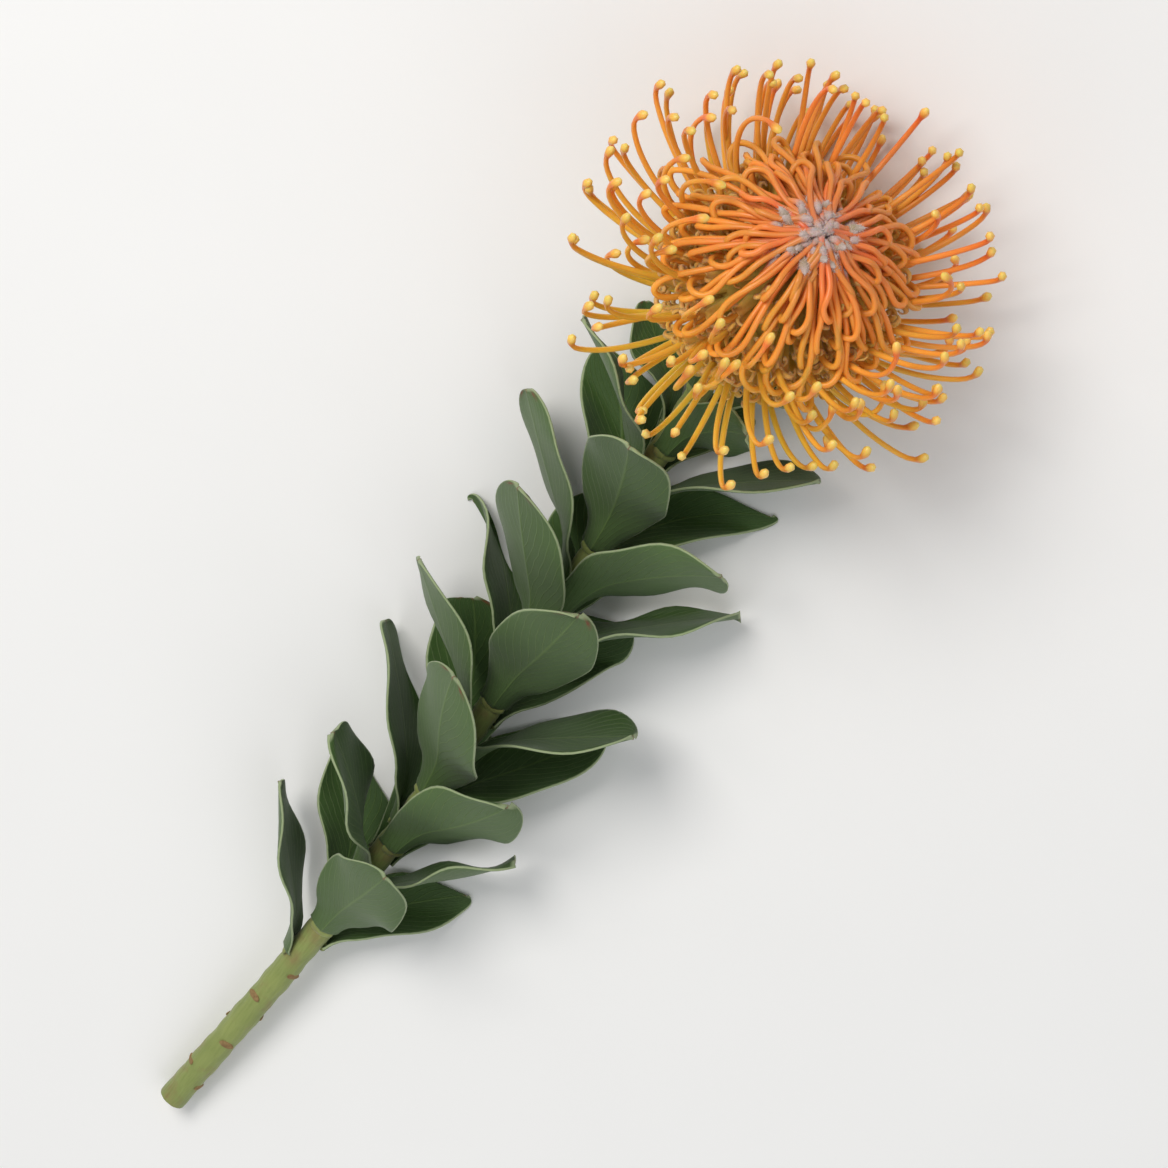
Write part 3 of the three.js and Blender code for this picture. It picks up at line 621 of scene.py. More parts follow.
def looped_strand(flower):
    path = loop_path(flower)
    gone = distances(path)
    runs = [g / gone[-1] for g in gone]
    held_by = HELD_LENGTH + spread(flower["index"], "held length", HELD_SPREAD)
    held = [ease((held_by - (gone[-1] - g)) / HELD_FADE) for g in gone]
    girths = []
    for run, grip, g in zip(runs, held, gone):
        blunt = mix(BLUNT_SHARE, 1, ease((gone[-1] - g) / BLUNT_LENGTH))
        girths.append(mix(mix(LOOP_ROOT_GIRTH, LOOP_NECK_GIRTH, run), HELD_GIRTH, grip) * blunt * MM)
    values = {"girth": girths, "along": runs, "held": held}
    values["up"] = coral_share(flower, LOOPED_SIDE_SHARE)
    values["tone"] = chance(flower["index"], "style tone")
    return path, values


looped_strands = [looped_strand(f) for f in in_zone["looped"]]
looped_styles = swept("looped_styles", looped_strands, looped_style_skin)

# %% [markdown]
# Each floret's style comes out of a sheath, the perianth, which is what the florets of this family
# have for petals. It is green-yellow at its foot and golden tan above, with fine wool outside. It
# scatters light, so the inside of the head glows instead of going black. Two colour ramps follow
# the sheath, and each one's own tone picks between them.

# %% Woolly perianth tissue
FLECK_SHARE = 0.3
GOLDEN = [(0.0, "bcc850"), (0.3, "eccc50"), (0.55, "fcc850"), (0.75, "f8b850"), (1.0, "f2c472")]
LILAC = [(0.0, "b0b84c"), (0.3, "dcbc4c"), (0.55, "ecb858"), (0.75, "e2a868"), (1.0, "dcb48c")]

perianth_skin, tree, shader, place = surface("woolly_perianth_tissue")
along = add(tree, "ShaderNodeAttribute", out="Fac", attribute_name="along")
tone = add(tree, "ShaderNodeAttribute", out="Fac", attribute_name="tone")
golden = add(tree, "ShaderNodeValToRGB", {"Fac": along}, GOLDEN, "Color")
lilac = add(tree, "ShaderNodeValToRGB", {"Fac": along}, LILAC, "Color")
colour = add(tree, "ShaderNodeMix", {0: tone, 6: golden, 7: lilac}, out=2, data_type="RGBA")
fuzz_inputs = {"Vector": place, "Scale": 1 / (0.5 * MM), "Detail": 3.0, "Roughness": 0.7}
fuzz = add(tree, "ShaderNodeTexNoise", fuzz_inputs, out="Fac")
flecks = {0: fuzz, 6: linear("b89440"), 7: linear("f8e098")}
felt = add(tree, "ShaderNodeMix", flecks, out=2, data_type="RGBA")
colour = add(tree, "ShaderNodeMix", {0: FLECK_SHARE, 6: colour, 7: felt}, out=2, data_type="RGBA")
normal = add(tree, "ShaderNodeBump", {"Height": fuzz, "Distance": 0.12 * MM}, out="Normal")
feed(tree, shader, {"Base Color": colour, "Normal": normal, "Roughness": 0.85, "IOR": 1.4})
feed(tree, shader, {"Sheen Weight": 0.2, "Sheen Roughness": 0.4, "Subsurface Weight": 0.5})
feed(tree, shader, {"Subsurface Radius": (1.0, 0.7, 0.25), "Subsurface Scale": 1.2 * MM})
print("perianth material:", perianth_skin.name)

# %% [markdown]
# When a style springs free, the narrow lobes of its sheath roll back like shavings. The sheaths
# follow the first stretch of their styles, and three ribbons curl away from each end. The ribbons
# are swept with the same tree, only from a flattened ring.

# %% Sheaths and rolled lobes
FREE_SHEATH_LENGTH, HELD_SHEATH_LENGTH, TOP_SHEATH_LENGTH, SHEATH_SPREAD = 14, 10, 7, 1.5
SHEATH_FOOT_GIRTH, SHEATH_END_GIRTH = 1.85, 1.35
SHEATH_COLOUR_END, RIBBON_COLOUR_START = 0.7, 0.45
RIBBONS_EACH = 3
RIBBON_STEPS = 10
RIBBON_LENGTH, SHORT_RIBBON, LONG_RIBBON = 7.5, 0.75, 1.15
HELD_RIBBON_SHARE = 0.65
RIBBON_SUNK, RIBBON_OFF_MIDDLE = 1.2, 0.9
LEAST_ROLL, MOST_ROLL, ROLL_POWER = 190, 340, 1.7
RIBBON_FOOT_GIRTH, RIBBON_END_GIRTH = 0.9, 0.6
SPOON_FROM, SPOON_SWELL = 0.8, 1.3
RIBBON_CLEARANCE, RIBBON_SOFTNESS = 1.3, 0.5
RIBBON_FLATNESS = 0.35


def walked(path, distance):
    """The points of a path up to a distance along it, and the direction there."""
    gone = distances(path)
    last = next((i for i, g in enumerate(gone) if g >= distance), len(path) - 1)
    share = min(1, (distance - gone[last - 1]) / (gone[last] - gone[last - 1]))
    end = path[last - 1].lerp(path[last], share)
    return path[:last] + [end], (path[last] - path[last - 1]).normalized()


def sheath_length(flower):
    """Sheaths of held styles are shorter, because the style turns back early."""
    held = mix(HELD_SHEATH_LENGTH, TOP_SHEATH_LENGTH, flower["up"])
    own = spread(flower["index"], "sheath length", SHEATH_SPREAD)
    return (FREE_SHEATH_LENGTH if flower["zone"] == "free" else held) + own


def sheath_strand(flower, path):
    points, _ = walked(path, sheath_length(flower))
    runs = [i / (len(points) - 1) for i in range(len(points))]
    values = {"girth": [mix(SHEATH_FOOT_GIRTH, SHEATH_END_GIRTH, run) * MM for run in runs]}
    values["along"] = [SHEATH_COLOUR_END * run for run in runs]
    values["tone"] = chance(flower["index"], "sheath tone")
    return points, values


def ribbon_strand(flower, foot, forward, k):
    """One lobe that leaves a sheath's end and rolls outwards, tighter towards its spoon-shaped tip."""
    index = flower["index"]
    turn = math.tau * (k + chance(index, "lobe turn")) / RIBBONS_EACH
    away = Matrix.Rotation(turn, 3, forward) @ forward.orthogonal().normalized()
    roll = math.radians(mix(LEAST_ROLL, MOST_ROLL, chance(index + k, "lobe roll")))
    length = RIBBON_LENGTH * mix(SHORT_RIBBON, LONG_RIBBON, chance(index + k, "lobe length"))
    length *= HELD_RIBBON_SHARE if flower["zone"] == "looped" else 1
    place = foot + away * RIBBON_OFF_MIDDLE
    ribbon = []
    for i in range(RIBBON_STEPS + 1):
        height = rest_on_table(place.z, RIBBON_CLEARANCE, RIBBON_SOFTNESS)
        ribbon.append(Vector((place.x, place.y, height)))
        bend = roll * ((i + 0.5) / RIBBON_STEPS) ** ROLL_POWER
        place = place + (forward * math.cos(bend) + away * math.sin(bend)) * (length / RIBBON_STEPS)
    runs = [i / RIBBON_STEPS for i in range(RIBBON_STEPS + 1)]
    swells = [SPOON_SWELL if run > SPOON_FROM else 1 for run in runs]
    girths = [mix(RIBBON_FOOT_GIRTH, RIBBON_END_GIRTH, run) * swell for run, swell in zip(runs, swells)]
    values = {"girth": [g * MM for g in girths]}
    values["along"] = [mix(RIBBON_COLOUR_START, 1.0, run) for run in runs]
    values["tone"] = chance(index + k, "lobe tone")
    return ribbon, values


paths = [(f, free_path(f)) for f in in_zone["free"]] + [(f, loop_path(f)) for f in in_zone["looped"]]
sheaths = swept("perianth_sheaths", [sheath_strand(f, p) for f, p in paths], perianth_skin, sides=7)
ribbons = []
for flower, path in paths:
    sheath, forward = walked(path, sheath_length(flower) - RIBBON_SUNK)
    ribbons += [ribbon_strand(flower, sheath[-1], forward, k) for k in range(RIBBONS_EACH)]
lobes = swept("perianth_lobes", ribbons, perianth_skin, sides=4, flatness=RIBBON_FLATNESS)

# %% [markdown]
# Other pieces are closed bodies. One helper makes such a piece from points and faces, turns its faces
# outwards, shades it smoothly and gives it its material. Two more list faces: of rings stacked
# between two poles, and of a thick sheet with a front, a back and a rim.

# %% Closed bodies
def closed_body(name, points, faces, skin=None, columns=None):
    """A closed smooth piece from points in millimetres, with its own numbers for each point."""
    mesh = bpy.data.meshes.new(name)
    mesh.from_pydata([point * MM for point in points], [], faces)
    for key, column in (columns or {}).items():
        mesh.attributes.new(key, "FLOAT", "POINT").data.foreach_set("value", column)
    turned = bmesh.new()
    turned.from_mesh(mesh)
    bmesh.ops.recalc_face_normals(turned, faces=turned.faces)
    turned.to_mesh(mesh)
    turned.free()
    mesh.shade_smooth()
    if skin:
        mesh.materials.append(skin)
    return linked(name, mesh)


def ring_faces(rows, columns):
    """Faces of stacked rings. The two poles come after the rings, the first ring's pole first."""
    low, last = rows * columns, (rows - 1) * columns
    faces = []
    for k in range(columns):
        beside = (k + 1) % columns
        faces += [(low, beside, k), (low + 1, last + k, last + beside)]
        for a in range(0, last, columns):
            faces.append((a + k, a + beside, a + columns + beside, a + columns + k))
    return faces


def sheet_faces(rows, columns):
    """Faces of a sheet whose back grid follows its front grid."""
    half = rows * columns
    faces = []
    for i in range(rows - 1):
        for j in range(columns - 1):
            a, c = i * columns + j, (i + 1) * columns + j
            faces += [(a, c, c + 1, a + 1), (half + a, half + a + 1, half + c + 1, half + c)]
    rim = list(range(columns - 1)) + [i * columns + columns - 1 for i in range(rows - 1)]
    rim += [half - 1 - j for j in range(columns - 1)] + [i * columns for i in range(rows - 1, 0, -1)]
    return faces + [(a, b, half + b, half + a) for a, b in zip(rim, rim[1:] + rim[:1])]


print("a ring body of 3 by 8 has", len(ring_faces(3, 8)), "faces")

# %% [markdown]
# Under the florets is the receptacle, an egg of green-brown tissue. Little of it shows, but it has
# to close the gaps between the sheaths, so it is a closed body of rings with low lumps where the
# sheaths are rooted.

# %% The receptacle
CORE_INSET = 1.5
CORE_ROWS, CORE_COLUMNS = 40, 56
CORE_LEVEL_END = 0.985
CORE_FOOT = 0.35
LUMP_HEIGHT = 0.5
LUMPS_ROUND, LUMP_TWIST, LUMP_RISE = 21, 1.7, 1.1

receptacle_skin, tree, shader, place = surface("green_brown_receptacle_tissue")
patches = add(tree, "ShaderNodeTexNoise", {"Vector": place, "Scale": 1 / (3 * MM)}, out="Fac")
blend = {0: patches, 6: linear("9a8a3a"), 7: linear("c8b058")}
colour = add(tree, "ShaderNodeMix", blend, out=2, data_type="RGBA")
normal = add(tree, "ShaderNodeBump", {"Height": patches, "Distance": 0.3 * MM}, out="Normal")
feed(tree, shader, {"Base Color": colour, "Normal": normal, "Roughness": 0.9, "IOR": 1.4})

core_points = []
for i in range(CORE_ROWS):
    level = mix(-CORE_LEVEL_END, CORE_LEVEL_END, i / (CORE_ROWS - 1))
    for k in range(CORE_COLUMNS):
        angle = math.tau * k / CORE_COLUMNS
        lump = LUMP_HEIGHT * math.sin(angle * LUMPS_ROUND + i * LUMP_TWIST) * math.sin(i * LUMP_RISE)
        radius, height = core_place(level, lump - CORE_INSET)
        core_points.append(head_point(radius, angle, max(CORE_FOOT, height)))
core_points += [head_point(0, 0, CORE_FOOT), head_point(0, 0, CORE_HEIGHT - CORE_INSET)]
core_faces = ring_faces(CORE_ROWS, CORE_COLUMNS)
receptacle = closed_body("receptacle", core_points, core_faces, receptacle_skin)
print("receptacle:", len(receptacle.data.polygons), "faces")

# %% [markdown]
# At the apex the florets are still shut: blunt fingers, olive at the sides and lilac-grey at their
# woolly ends. They follow the same rule as their solids, with rounder ends.

# %% Unopened florets
BUD_RADIUS, SLIM_BUD, STOUT_BUD = 1.3, 0.85, 1.05
BUD_LENGTH, BUD_LENGTH_SPREAD = 9, 0.18
BUD_STEPS = 11
BUD_SUNK, BUD_POWER = 0.3, 0.85
BUD_ANGLE_SPREAD = 0.25
BUD_GIRTHS = [0.6, 0.66, 0.72, 0.8, 0.88, 0.95, 1.02, 1.06, 1.05, 0.94, 0.68, 0.2]
LOW_DROOP, TOP_DROOP = 0.06, 0.01
BUD_STOPS = [(0.0, "6f6a30"), (0.5, "8a7c3c"), (0.76, "a8925e"), (0.9, "ceb4ac"), (1.0, "e6d4d6")]
OWN_TONE_SHARE, BUD_FELT_SHARE = 0.3, 0.4


def bud_strand(flower):
    index = flower["index"]
    length = BUD_LENGTH * (1 + spread(index, "bud length", BUD_LENGTH_SPREAD))
    length *= EXTRA_LENGTH if flower["extra"] else 1
    droop = mix(LOW_DROOP, TOP_DROOP, flower["up"])
    swirl = spread(index, "bud angle", BUD_ANGLE_SPREAD)
    runs = [i / BUD_STEPS for i in range(BUD_STEPS + 1)]
    path = []
    for run in runs:
        level = flower["level"] - droop * run * run
        radius, height = core_place(level, length * (run**BUD_POWER - BUD_SUNK))
        path.append(head_point(radius, flower["angle"] + swirl * run, height))
    own_girth = BUD_RADIUS * mix(SLIM_BUD, STOUT_BUD, chance(index, "bud girth")) * MM
    values = {"girth": [g * own_girth for g in BUD_GIRTHS], "along": runs}
    values["tone"] = chance(index, "bud tone")
    return path, values


bud_skin, tree, shader, place = surface("grey_woolly_bud")
along = add(tree, "ShaderNodeAttribute", out="Fac", attribute_name="along")
tone = add(tree, "ShaderNodeAttribute", out="Fac", attribute_name="tone")
colour = add(tree, "ShaderNodeValToRGB", {"Fac": along}, BUD_STOPS, "Color")
own = {0: tone, 6: linear("c08068"), 7: linear("8f9458")}
own = add(tree, "ShaderNodeMix", own, out=2, data_type="RGBA")
colour = add(tree, "ShaderNodeMix", {0: OWN_TONE_SHARE, 6: colour, 7: own}, out=2, data_type="RGBA")
fuzz_inputs = {"Vector": place, "Scale": 1 / (0.45 * MM), "Detail": 3.0, "Roughness": 0.7}
fuzz = add(tree, "ShaderNodeTexNoise", fuzz_inputs, out="Fac")
felt = {0: fuzz, 6: linear("6c6140"), 7: linear("e6d8d6")}
felt = add(tree, "ShaderNodeMix", felt, out=2, data_type="RGBA")
colour = add(tree, "ShaderNodeMix", {0: BUD_FELT_SHARE, 6: colour, 7: felt}, out=2, data_type="RGBA")
normal = add(tree, "ShaderNodeBump", {"Height": fuzz, "Distance": 0.2 * MM}, out="Normal")
feed(tree, shader, {"Base Color": colour, "Normal": normal, "Roughness": 0.92, "IOR": 1.4})
feed(tree, shader, {"Sheen Weight": 0.5, "Sheen Roughness": 0.4})
buds = swept("unopened_florets", [bud_strand(f) for f in in_zone["closed"]], bud_skin, sides=9)

# %% [markdown]
# Wool gives the apex and the rolled lobes their soft grey look. A second tree scatters points over
# a piece with a fixed seed and sets a thin three-sided spike on each, leaning a little at random.
# Spikes stay a mesh through the export, where hair curves are dropped. They are thicker than real
# wool, which would be too fine to show.

# %% The tree that scatters hairs
SHORT_HAIR, LONG_HAIR, HAIR_SIZE_SEED = 0.5, 1.1, 3
HAIR_INPUTS = {name: "NodeSocketFloat" for name in ("Density", "Length", "Thickness", "Lean", "From")}
HAIR_INPUTS |= {"Seed": "NodeSocketInt", "Material": "NodeSocketMaterial"}
hairs, given, result = new_tree("scatter_hairs", HAIR_INPUTS)
along = add(hairs, "GeometryNodeInputNamedAttribute", {"Name": "along"}, out="Attribute")
woolly = {0: along, 1: given["From"]}
woolly = add(hairs, "FunctionNodeCompare", woolly, out="Result", operation="GREATER_THAN")
sown = {"Mesh": given["Geometry"], "Selection": woolly}
sown |= {"Density": given["Density"], "Seed": given["Seed"]}
sown = add(hairs, "GeometryNodeDistributePointsOnFaces", sown)
spike = {"Vertices": 3, "Side Segments": 1, "Radius Top": 0.0, "Radius Bottom": given["Thickness"]}
spike["Depth"] = given["Length"]
spike = add(hairs, "GeometryNodeMeshCone", spike, out="Mesh", fill_type="NGON")
back = add(hairs, "ShaderNodeMath", {0: given["Lean"], 1: -1.0}, out=0, operation="MULTIPLY")
lean = {"Min": back, "Max": given["Lean"], "Seed": given["Seed"]}
lean = add(hairs, "FunctionNodeRandomValue", lean, out="Value", data_type="FLOAT_VECTOR")
lean_by = add(hairs, "FunctionNodeEulerToRotation", {"Euler": lean}, out=0)
turned = {"Rotation": sown.outputs["Rotation"], "Rotate By": lean_by}
turned = add(hairs, "FunctionNodeRotateRotation", turned, out=0, rotation_space="LOCAL")
sizes = {2: SHORT_HAIR, 3: LONG_HAIR, "Seed": HAIR_SIZE_SEED}
sizes = add(hairs, "FunctionNodeRandomValue", sizes, out=1, data_type="FLOAT")
spikes = {"Points": sown.outputs["Points"], "Instance": spike, "Rotation": turned, "Scale": sizes}
spikes = add(hairs, "GeometryNodeInstanceOnPoints", spikes, out=0)
end_tree(hairs, result, spikes, given["Material"])
print("hair tree:", len(hairs.nodes), "nodes")

# %% [markdown]
# Plant wool is matt and pale, and its many thin walls scatter light, which sheen stands for. Each
# woolly piece takes its own length and density of hairs: long and close on the shut florets, short
# on the held ends, and thin on the rolled lobes.

# %% Wool
HAIR_LEAN = 0.7

wool_skin, tree, shader, place = surface("pale_plant_wool")
patches = add(tree, "ShaderNodeTexNoise", {"Vector": place, "Scale": 1 / (4 * MM)}, out="Fac")
blend = {0: patches, 6: linear("d0bca4"), 7: linear("e6d0d4")}
colour = add(tree, "ShaderNodeMix", blend, out=2, data_type="RGBA")
feed(tree, shader, {"Base Color": colour, "Roughness": 0.8, "IOR": 1.5, "Sheen Weight": 0.5})


def woolly_coat(name, under, hairs_per_mm2, length, thickness, start, seed, skin=wool_skin):
    """Hairs on a copy of a piece, on the part of it that lies past a place along its strands."""
    sizes = {"Density": hairs_per_mm2 / MM**2, "Length": length * MM, "Thickness": thickness * MM}
    place_and_look = {"Lean": HAIR_LEAN, "From": start, "Seed": seed, "Material": skin}
    return grown(name, under.data.copy(), hairs, sizes | place_and_look)


BUD_HAIRS = {"hairs_per_mm2": 3.2, "length": 1.2, "thickness": 0.06, "start": 0.3, "seed": 11}
HELD_HAIRS = {"hairs_per_mm2": 2.6, "length": 0.9, "thickness": 0.05, "start": 0.94, "seed": 12}
LOBE_HAIRS = {"hairs_per_mm2": 0.4, "length": 0.7, "thickness": 0.035, "start": 0.5, "seed": 13}
bud_wool = woolly_coat("bud_wool", buds, **BUD_HAIRS)
held_wool = woolly_coat("held_end_wool", looped_styles, **HELD_HAIRS)
lobe_wool = woolly_coat("lobe_wool", lobes, **LOBE_HAIRS, skin=perianth_skin)

# %% [markdown]
# Below the head is the stem's line. It runs from the cut end, low on the table, over the leaves
# that prop it up, and bends up into the head. A cubic through a few stations gives the line, and a
# table of distances lets leaves be set at measured places along it.

# %% The stem's line
STEM_RUN = 285
STEM_CUT_RADIUS, STEM_TOP_RADIUS = 4.1, 3.3
STEM_FLARE, STEM_FLARE_LENGTH, STEM_TAPER = 1.1, 9, 1.3
BRACT_CUP_HEIGHT, BRACT_CUP_RADIUS = 7.5, 8.2
GAP = 0.3
STEM_SAMPLES = 600
# A station's row: its share of the run, its sway to the side and its height, both in mm.
STATIONS = [(0, -4, 4.1), (0.22, 1, 11), (0.45, 4, 16.5), (0.68, 2, 16.5), (0.9, -0.5, 12)]

stem_start = HEAD_BASE.y - STEM_RUN
stem_line = [Vector((sway, stem_start + share * STEM_RUN, height)) for share, sway, height in STATIONS]
stem_line.append(HEAD_BASE - head_axis * (BRACT_CUP_HEIGHT + GAP))


def stem_slope(k):
    last = len(stem_line) - 1
    if k == last:
        return head_axis * (stem_line[k] - stem_line[k - 1]).length
    run = stem_line[min(last, k + 1)] - stem_line[max(0, k - 1)]
    return run * (1 if k == 0 else 0.5)


def stem_point(share):
    spans = len(stem_line) - 1
    place = min(share * spans, spans - 1e-9)
    i = int(place)
    t = place - i
    straight = stem_line[i] * (1 - 3 * t * t + 2 * t**3) + stem_line[i + 1] * (3 * t * t - 2 * t**3)
    return straight + stem_slope(i) * (t - 2 * t * t + t**3) + stem_slope(i + 1) * (t**3 - t * t)


stem_points = [stem_point(i / STEM_SAMPLES) for i in range(STEM_SAMPLES + 1)]
stem_marks = distances(stem_points)
stem_length = stem_marks[-1]


def stem_at(distance):
    """Place, direction, side and up on the stem's line, a distance from the cut end."""
    i = next((k for k, mark in enumerate(stem_marks) if k > 0 and mark >= distance), STEM_SAMPLES)
    before, after = stem_points[i - 1], stem_points[i]
    point = before.lerp(after, (distance - stem_marks[i - 1]) / (stem_marks[i] - stem_marks[i - 1]))
    forward = (after - before).normalized()
    side = forward.cross(Vector((0, 0, 1))).normalized()
    return point, forward, side, side.cross(forward)


def stem_radius(distance):
    flare = math.exp(-(stem_length - distance) / STEM_FLARE_LENGTH) * STEM_FLARE
    return mix(STEM_CUT_RADIUS, STEM_TOP_RADIUS, ease(distance / stem_length * STEM_TAPER)) + flare


print("stem is", round(stem_length, 1), "mm along its line")

# %% [markdown]
# Each leaf is a thick, sessile blade: narrow at its foot, widest past the middle, with a round end
# that carries a small hard red point, or three. The rule gives its place in the spiral, its size,
# how far it opens, and how it twists, curls, cups and waves. Blades that would pass through the
# table lie against it.

# %% The plan of a leaf
LEAF_COUNT = 33
LEAF_FIRST, LEAF_LAST = 62, 267
LEAF_LENGTH, LEAF_WIDTH, LEAF_THICKNESS = 54, 28, 1.0
FOOT_WIDTH, WIDEST_AT = 0.42, 0.52
ROUNDED_FROM, ROUNDING, TIP_SHARE = 0.5, 2.2, 0.06
FIRST_AZIMUTH = 0.62
LOWEST_LEAF, LARGEST_LEAF, LEAF_GROWTH = 0.86, 1.04, 3
UPPER_LEAVES, SMALLEST_LEAF = 0.72, 0.45
LEAF_OPENING, UPPER_OPENING = 47, 66
FLATTEST_CUP, DEEPEST_CUP = 0.012, 0.03
LEAST_WAVE, WAVE_RANGE = 0.7, 1.1


def leaf_half_width(run, width):
    foot = mix(FOOT_WIDTH, 1, ease(run / WIDEST_AT))
    past = max(0, run - ROUNDED_FROM) / (1 - ROUNDED_FROM)
    return width / 2 * foot * math.sqrt(max(TIP_SHARE**2, 1 - past**ROUNDING))


def leaf_plan(number):
    """Lengths are in millimetres, and angles in radians. Each spread is this leaf's own share."""
    share = (number - 1) / (LEAF_COUNT - 1)
    upper = ease((share - UPPER_LEAVES) / (1 - UPPER_LEAVES))
    size = mix(LOWEST_LEAF, LARGEST_LEAF, ease(share * LEAF_GROWTH)) * mix(1, SMALLEST_LEAF, upper)
    opening = mix(LEAF_OPENING, UPPER_OPENING, upper)
    return {
        "distance": mix(LEAF_FIRST, LEAF_LAST, share),
        "azimuth": number * GOLDEN_ANGLE + FIRST_AZIMUTH + spread(number, "leaf azimuth", 0.12),
        "length": LEAF_LENGTH * size * (1 + spread(number, "leaf length", 0.07)),
        "width": LEAF_WIDTH * size * (1 + spread(number, "leaf width", 0.08)),
        "opening": math.radians(opening + spread(number, "leaf opening", 4)),
        "twist": spread(number, "leaf twist", 0.45),
        "curl": math.radians(spread(number, "leaf curl", 22)),
        "wave": LEAST_WAVE + WAVE_RANGE * chance(number, "leaf wave"),
        "wave_phase": math.tau * chance(number, "wave phase"),
        "cup": mix(FLATTEST_CUP, DEEPEST_CUP, chance(number, "leaf cup")),
    }


def leaf_seat(plan, distance):
    """The stem's place and direction under a leaf, and the way the leaf leaves it."""
    point, forward, side, up = stem_at(distance)
    return point, forward, side * math.cos(plan["azimuth"]) + up * math.sin(plan["azimuth"])


print("first leaf:", {key: round(value, 2) for key, value in leaf_plan(1).items()})

# %% [markdown]
# The blade's skin is a grid from foot to tip and from edge to edge, on both faces. Its thickness
# isn't even: the midrib stands proud below and lies in a groove above, the rim is a thin pale cord,
# and the tip swells to its callus.

# %% The blade of a leaf
LEAF_STEPS = 60
TABLE_SOFTNESS = 1.2
BLADE_ROWS = [-0.012, 0, 0.02, 0.05, 0.09] + [0.13 + 0.05 * i for i in range(14)]
BLADE_ROWS += [0.83, 0.87, 0.905, 0.935, 0.96, 0.978, 0.99, 0.997, 1.0]
HALF_COLUMNS = [0.04, 0.11, 0.24, 0.42, 0.62, 0.8, 0.95, 1]
BLADE_COLUMNS = [-edge for edge in reversed(HALF_COLUMNS)] + HALF_COLUMNS
BLADE_THICKNESS, CALLUS_SWELL = 0.8, 0.5
CALLUS_PLACES = [(1.0, 0.0), (0.975, -0.8), (0.975, 0.8)]
CALLUS_LENGTH, CALLUS_WIDTH, THREE_TEETH_FROM = 0.014, 0.11, 0.6
GROOVE_DEPTH, RIB_HEIGHT, RIB_WIDTH, RIB_TAPER = 0.22, 0.35, 0.07, 0.7
RIM_SHARE_OF_THICKNESS = 0.62
FOOT_OPENING, OPENED_BY = 0.3, 2.6
TWISTED_BY, CUPPED_BY, WAVED_BY = 1.6, 4.5, 2
FOOT_BOW, FOOT_SUNK = 0.2, 0.6
RIPPLES, RIPPLE_SLANT = 11, 1.4
TIP_CLEARANCE, FOOT_CLEARANCE, CLEARANCE_POWER = 0.55, 3.2, 1.5


def callus(number, run, edge):
    """How strongly a point belongs to one of the hard tips."""
    teeth = CALLUS_PLACES if chance(number, "teeth") > THREE_TEETH_FROM else CALLUS_PLACES[:1]
    offs = [((run - at) / CALLUS_LENGTH, (edge - to) / CALLUS_WIDTH) for at, to in teeth]
    return max(math.exp(-(along**2) - across**2) for along, across in offs)


def opened_by(plan, run):
    return plan["opening"] * mix(FOOT_OPENING, 1, ease(run * OPENED_BY)) + plan["curl"] * run * run


def midrib(plan, start, forward, radial):
    """The blade's middle line, walked from its seat."""
    line = [start]
    for i in range(LEAF_STEPS):
        opened = opened_by(plan, (i + 0.5) / LEAF_STEPS)
        step = (forward * math.cos(opened) + radial * math.sin(opened)) * (plan["length"] / LEAF_STEPS)
        line.append(line[-1] + step)
    return line


def blade_grids(number):
    """Front and back points of a blade in millimetres, and their callus strengths."""
    plan = leaf_plan(number)
    point, forward, radial = leaf_seat(plan, plan["distance"])
    around = forward.cross(radial)
    clear = stem_radius(plan["distance"]) + GAP + LEAF_THICKNESS / 2
    line = midrib(plan, point + radial * clear, forward, radial)
    front, back, hardness = [], [], []
    for run in BLADE_ROWS:
        opened = opened_by(plan, max(0, run))
        inward = forward * math.sin(opened) - radial * math.cos(opened)
        roll = plan["twist"] * ease(run * TWISTED_BY)
        sideways = around * math.cos(roll) + inward * math.sin(roll)
        face = inward * math.cos(roll) - around * math.sin(roll)
        half = leaf_half_width(max(0, run), plan["width"])
        bow = mix(1 / (clear + FOOT_BOW), plan["cup"], ease(run * CUPPED_BY))
        spot = min(max(run, 0) * LEAF_STEPS, LEAF_STEPS - 1e-6)
        middle = line[int(spot)].lerp(line[int(spot) + 1], spot - int(spot))
        if run < 0:
            middle = middle - radial * FOOT_SUNK + forward * run * plan["length"]
        to_tip = 1 - min(1, run)
        clearance = LEAF_THICKNESS * (TIP_CLEARANCE + FOOT_CLEARANCE * to_tip**CLEARANCE_POWER)
        for edge in BLADE_COLUMNS:
            angle = bow * half * edge
            ripple = math.sin(run * RIPPLES + plan["wave_phase"] + edge * RIPPLE_SLANT) * edge * edge
            lifted = plan["wave"] * ripple * ease(run * WAVED_BY) + (1 - math.cos(angle)) / bow
            skin_point = middle + sideways * (math.sin(angle) / bow) + face * lifted
            skin_point.z = rest_on_table(skin_point.z, clearance, TABLE_SOFTNESS)
            normal = face * math.cos(angle) - sideways * math.sin(angle)
            rib = math.exp(-((edge / RIB_WIDTH) ** 2)) * (1 - RIB_TAPER * run)
            rim = RIM_SHARE_OF_THICKNESS if abs(edge) == 1 or run >= 1 else 1.0
            hardness.append(callus(number, run, edge))
            thick = BLADE_THICKNESS / 2 * rim * (1 + CALLUS_SWELL * hardness[-1])
            front.append(skin_point + normal * (thick - GROOVE_DEPTH * rib))
            back.append(skin_point - normal * (thick + RIB_HEIGHT * rib))
    return front + back, hardness * 2


print("blade grid:", len(BLADE_ROWS), "by", len(BLADE_COLUMNS))

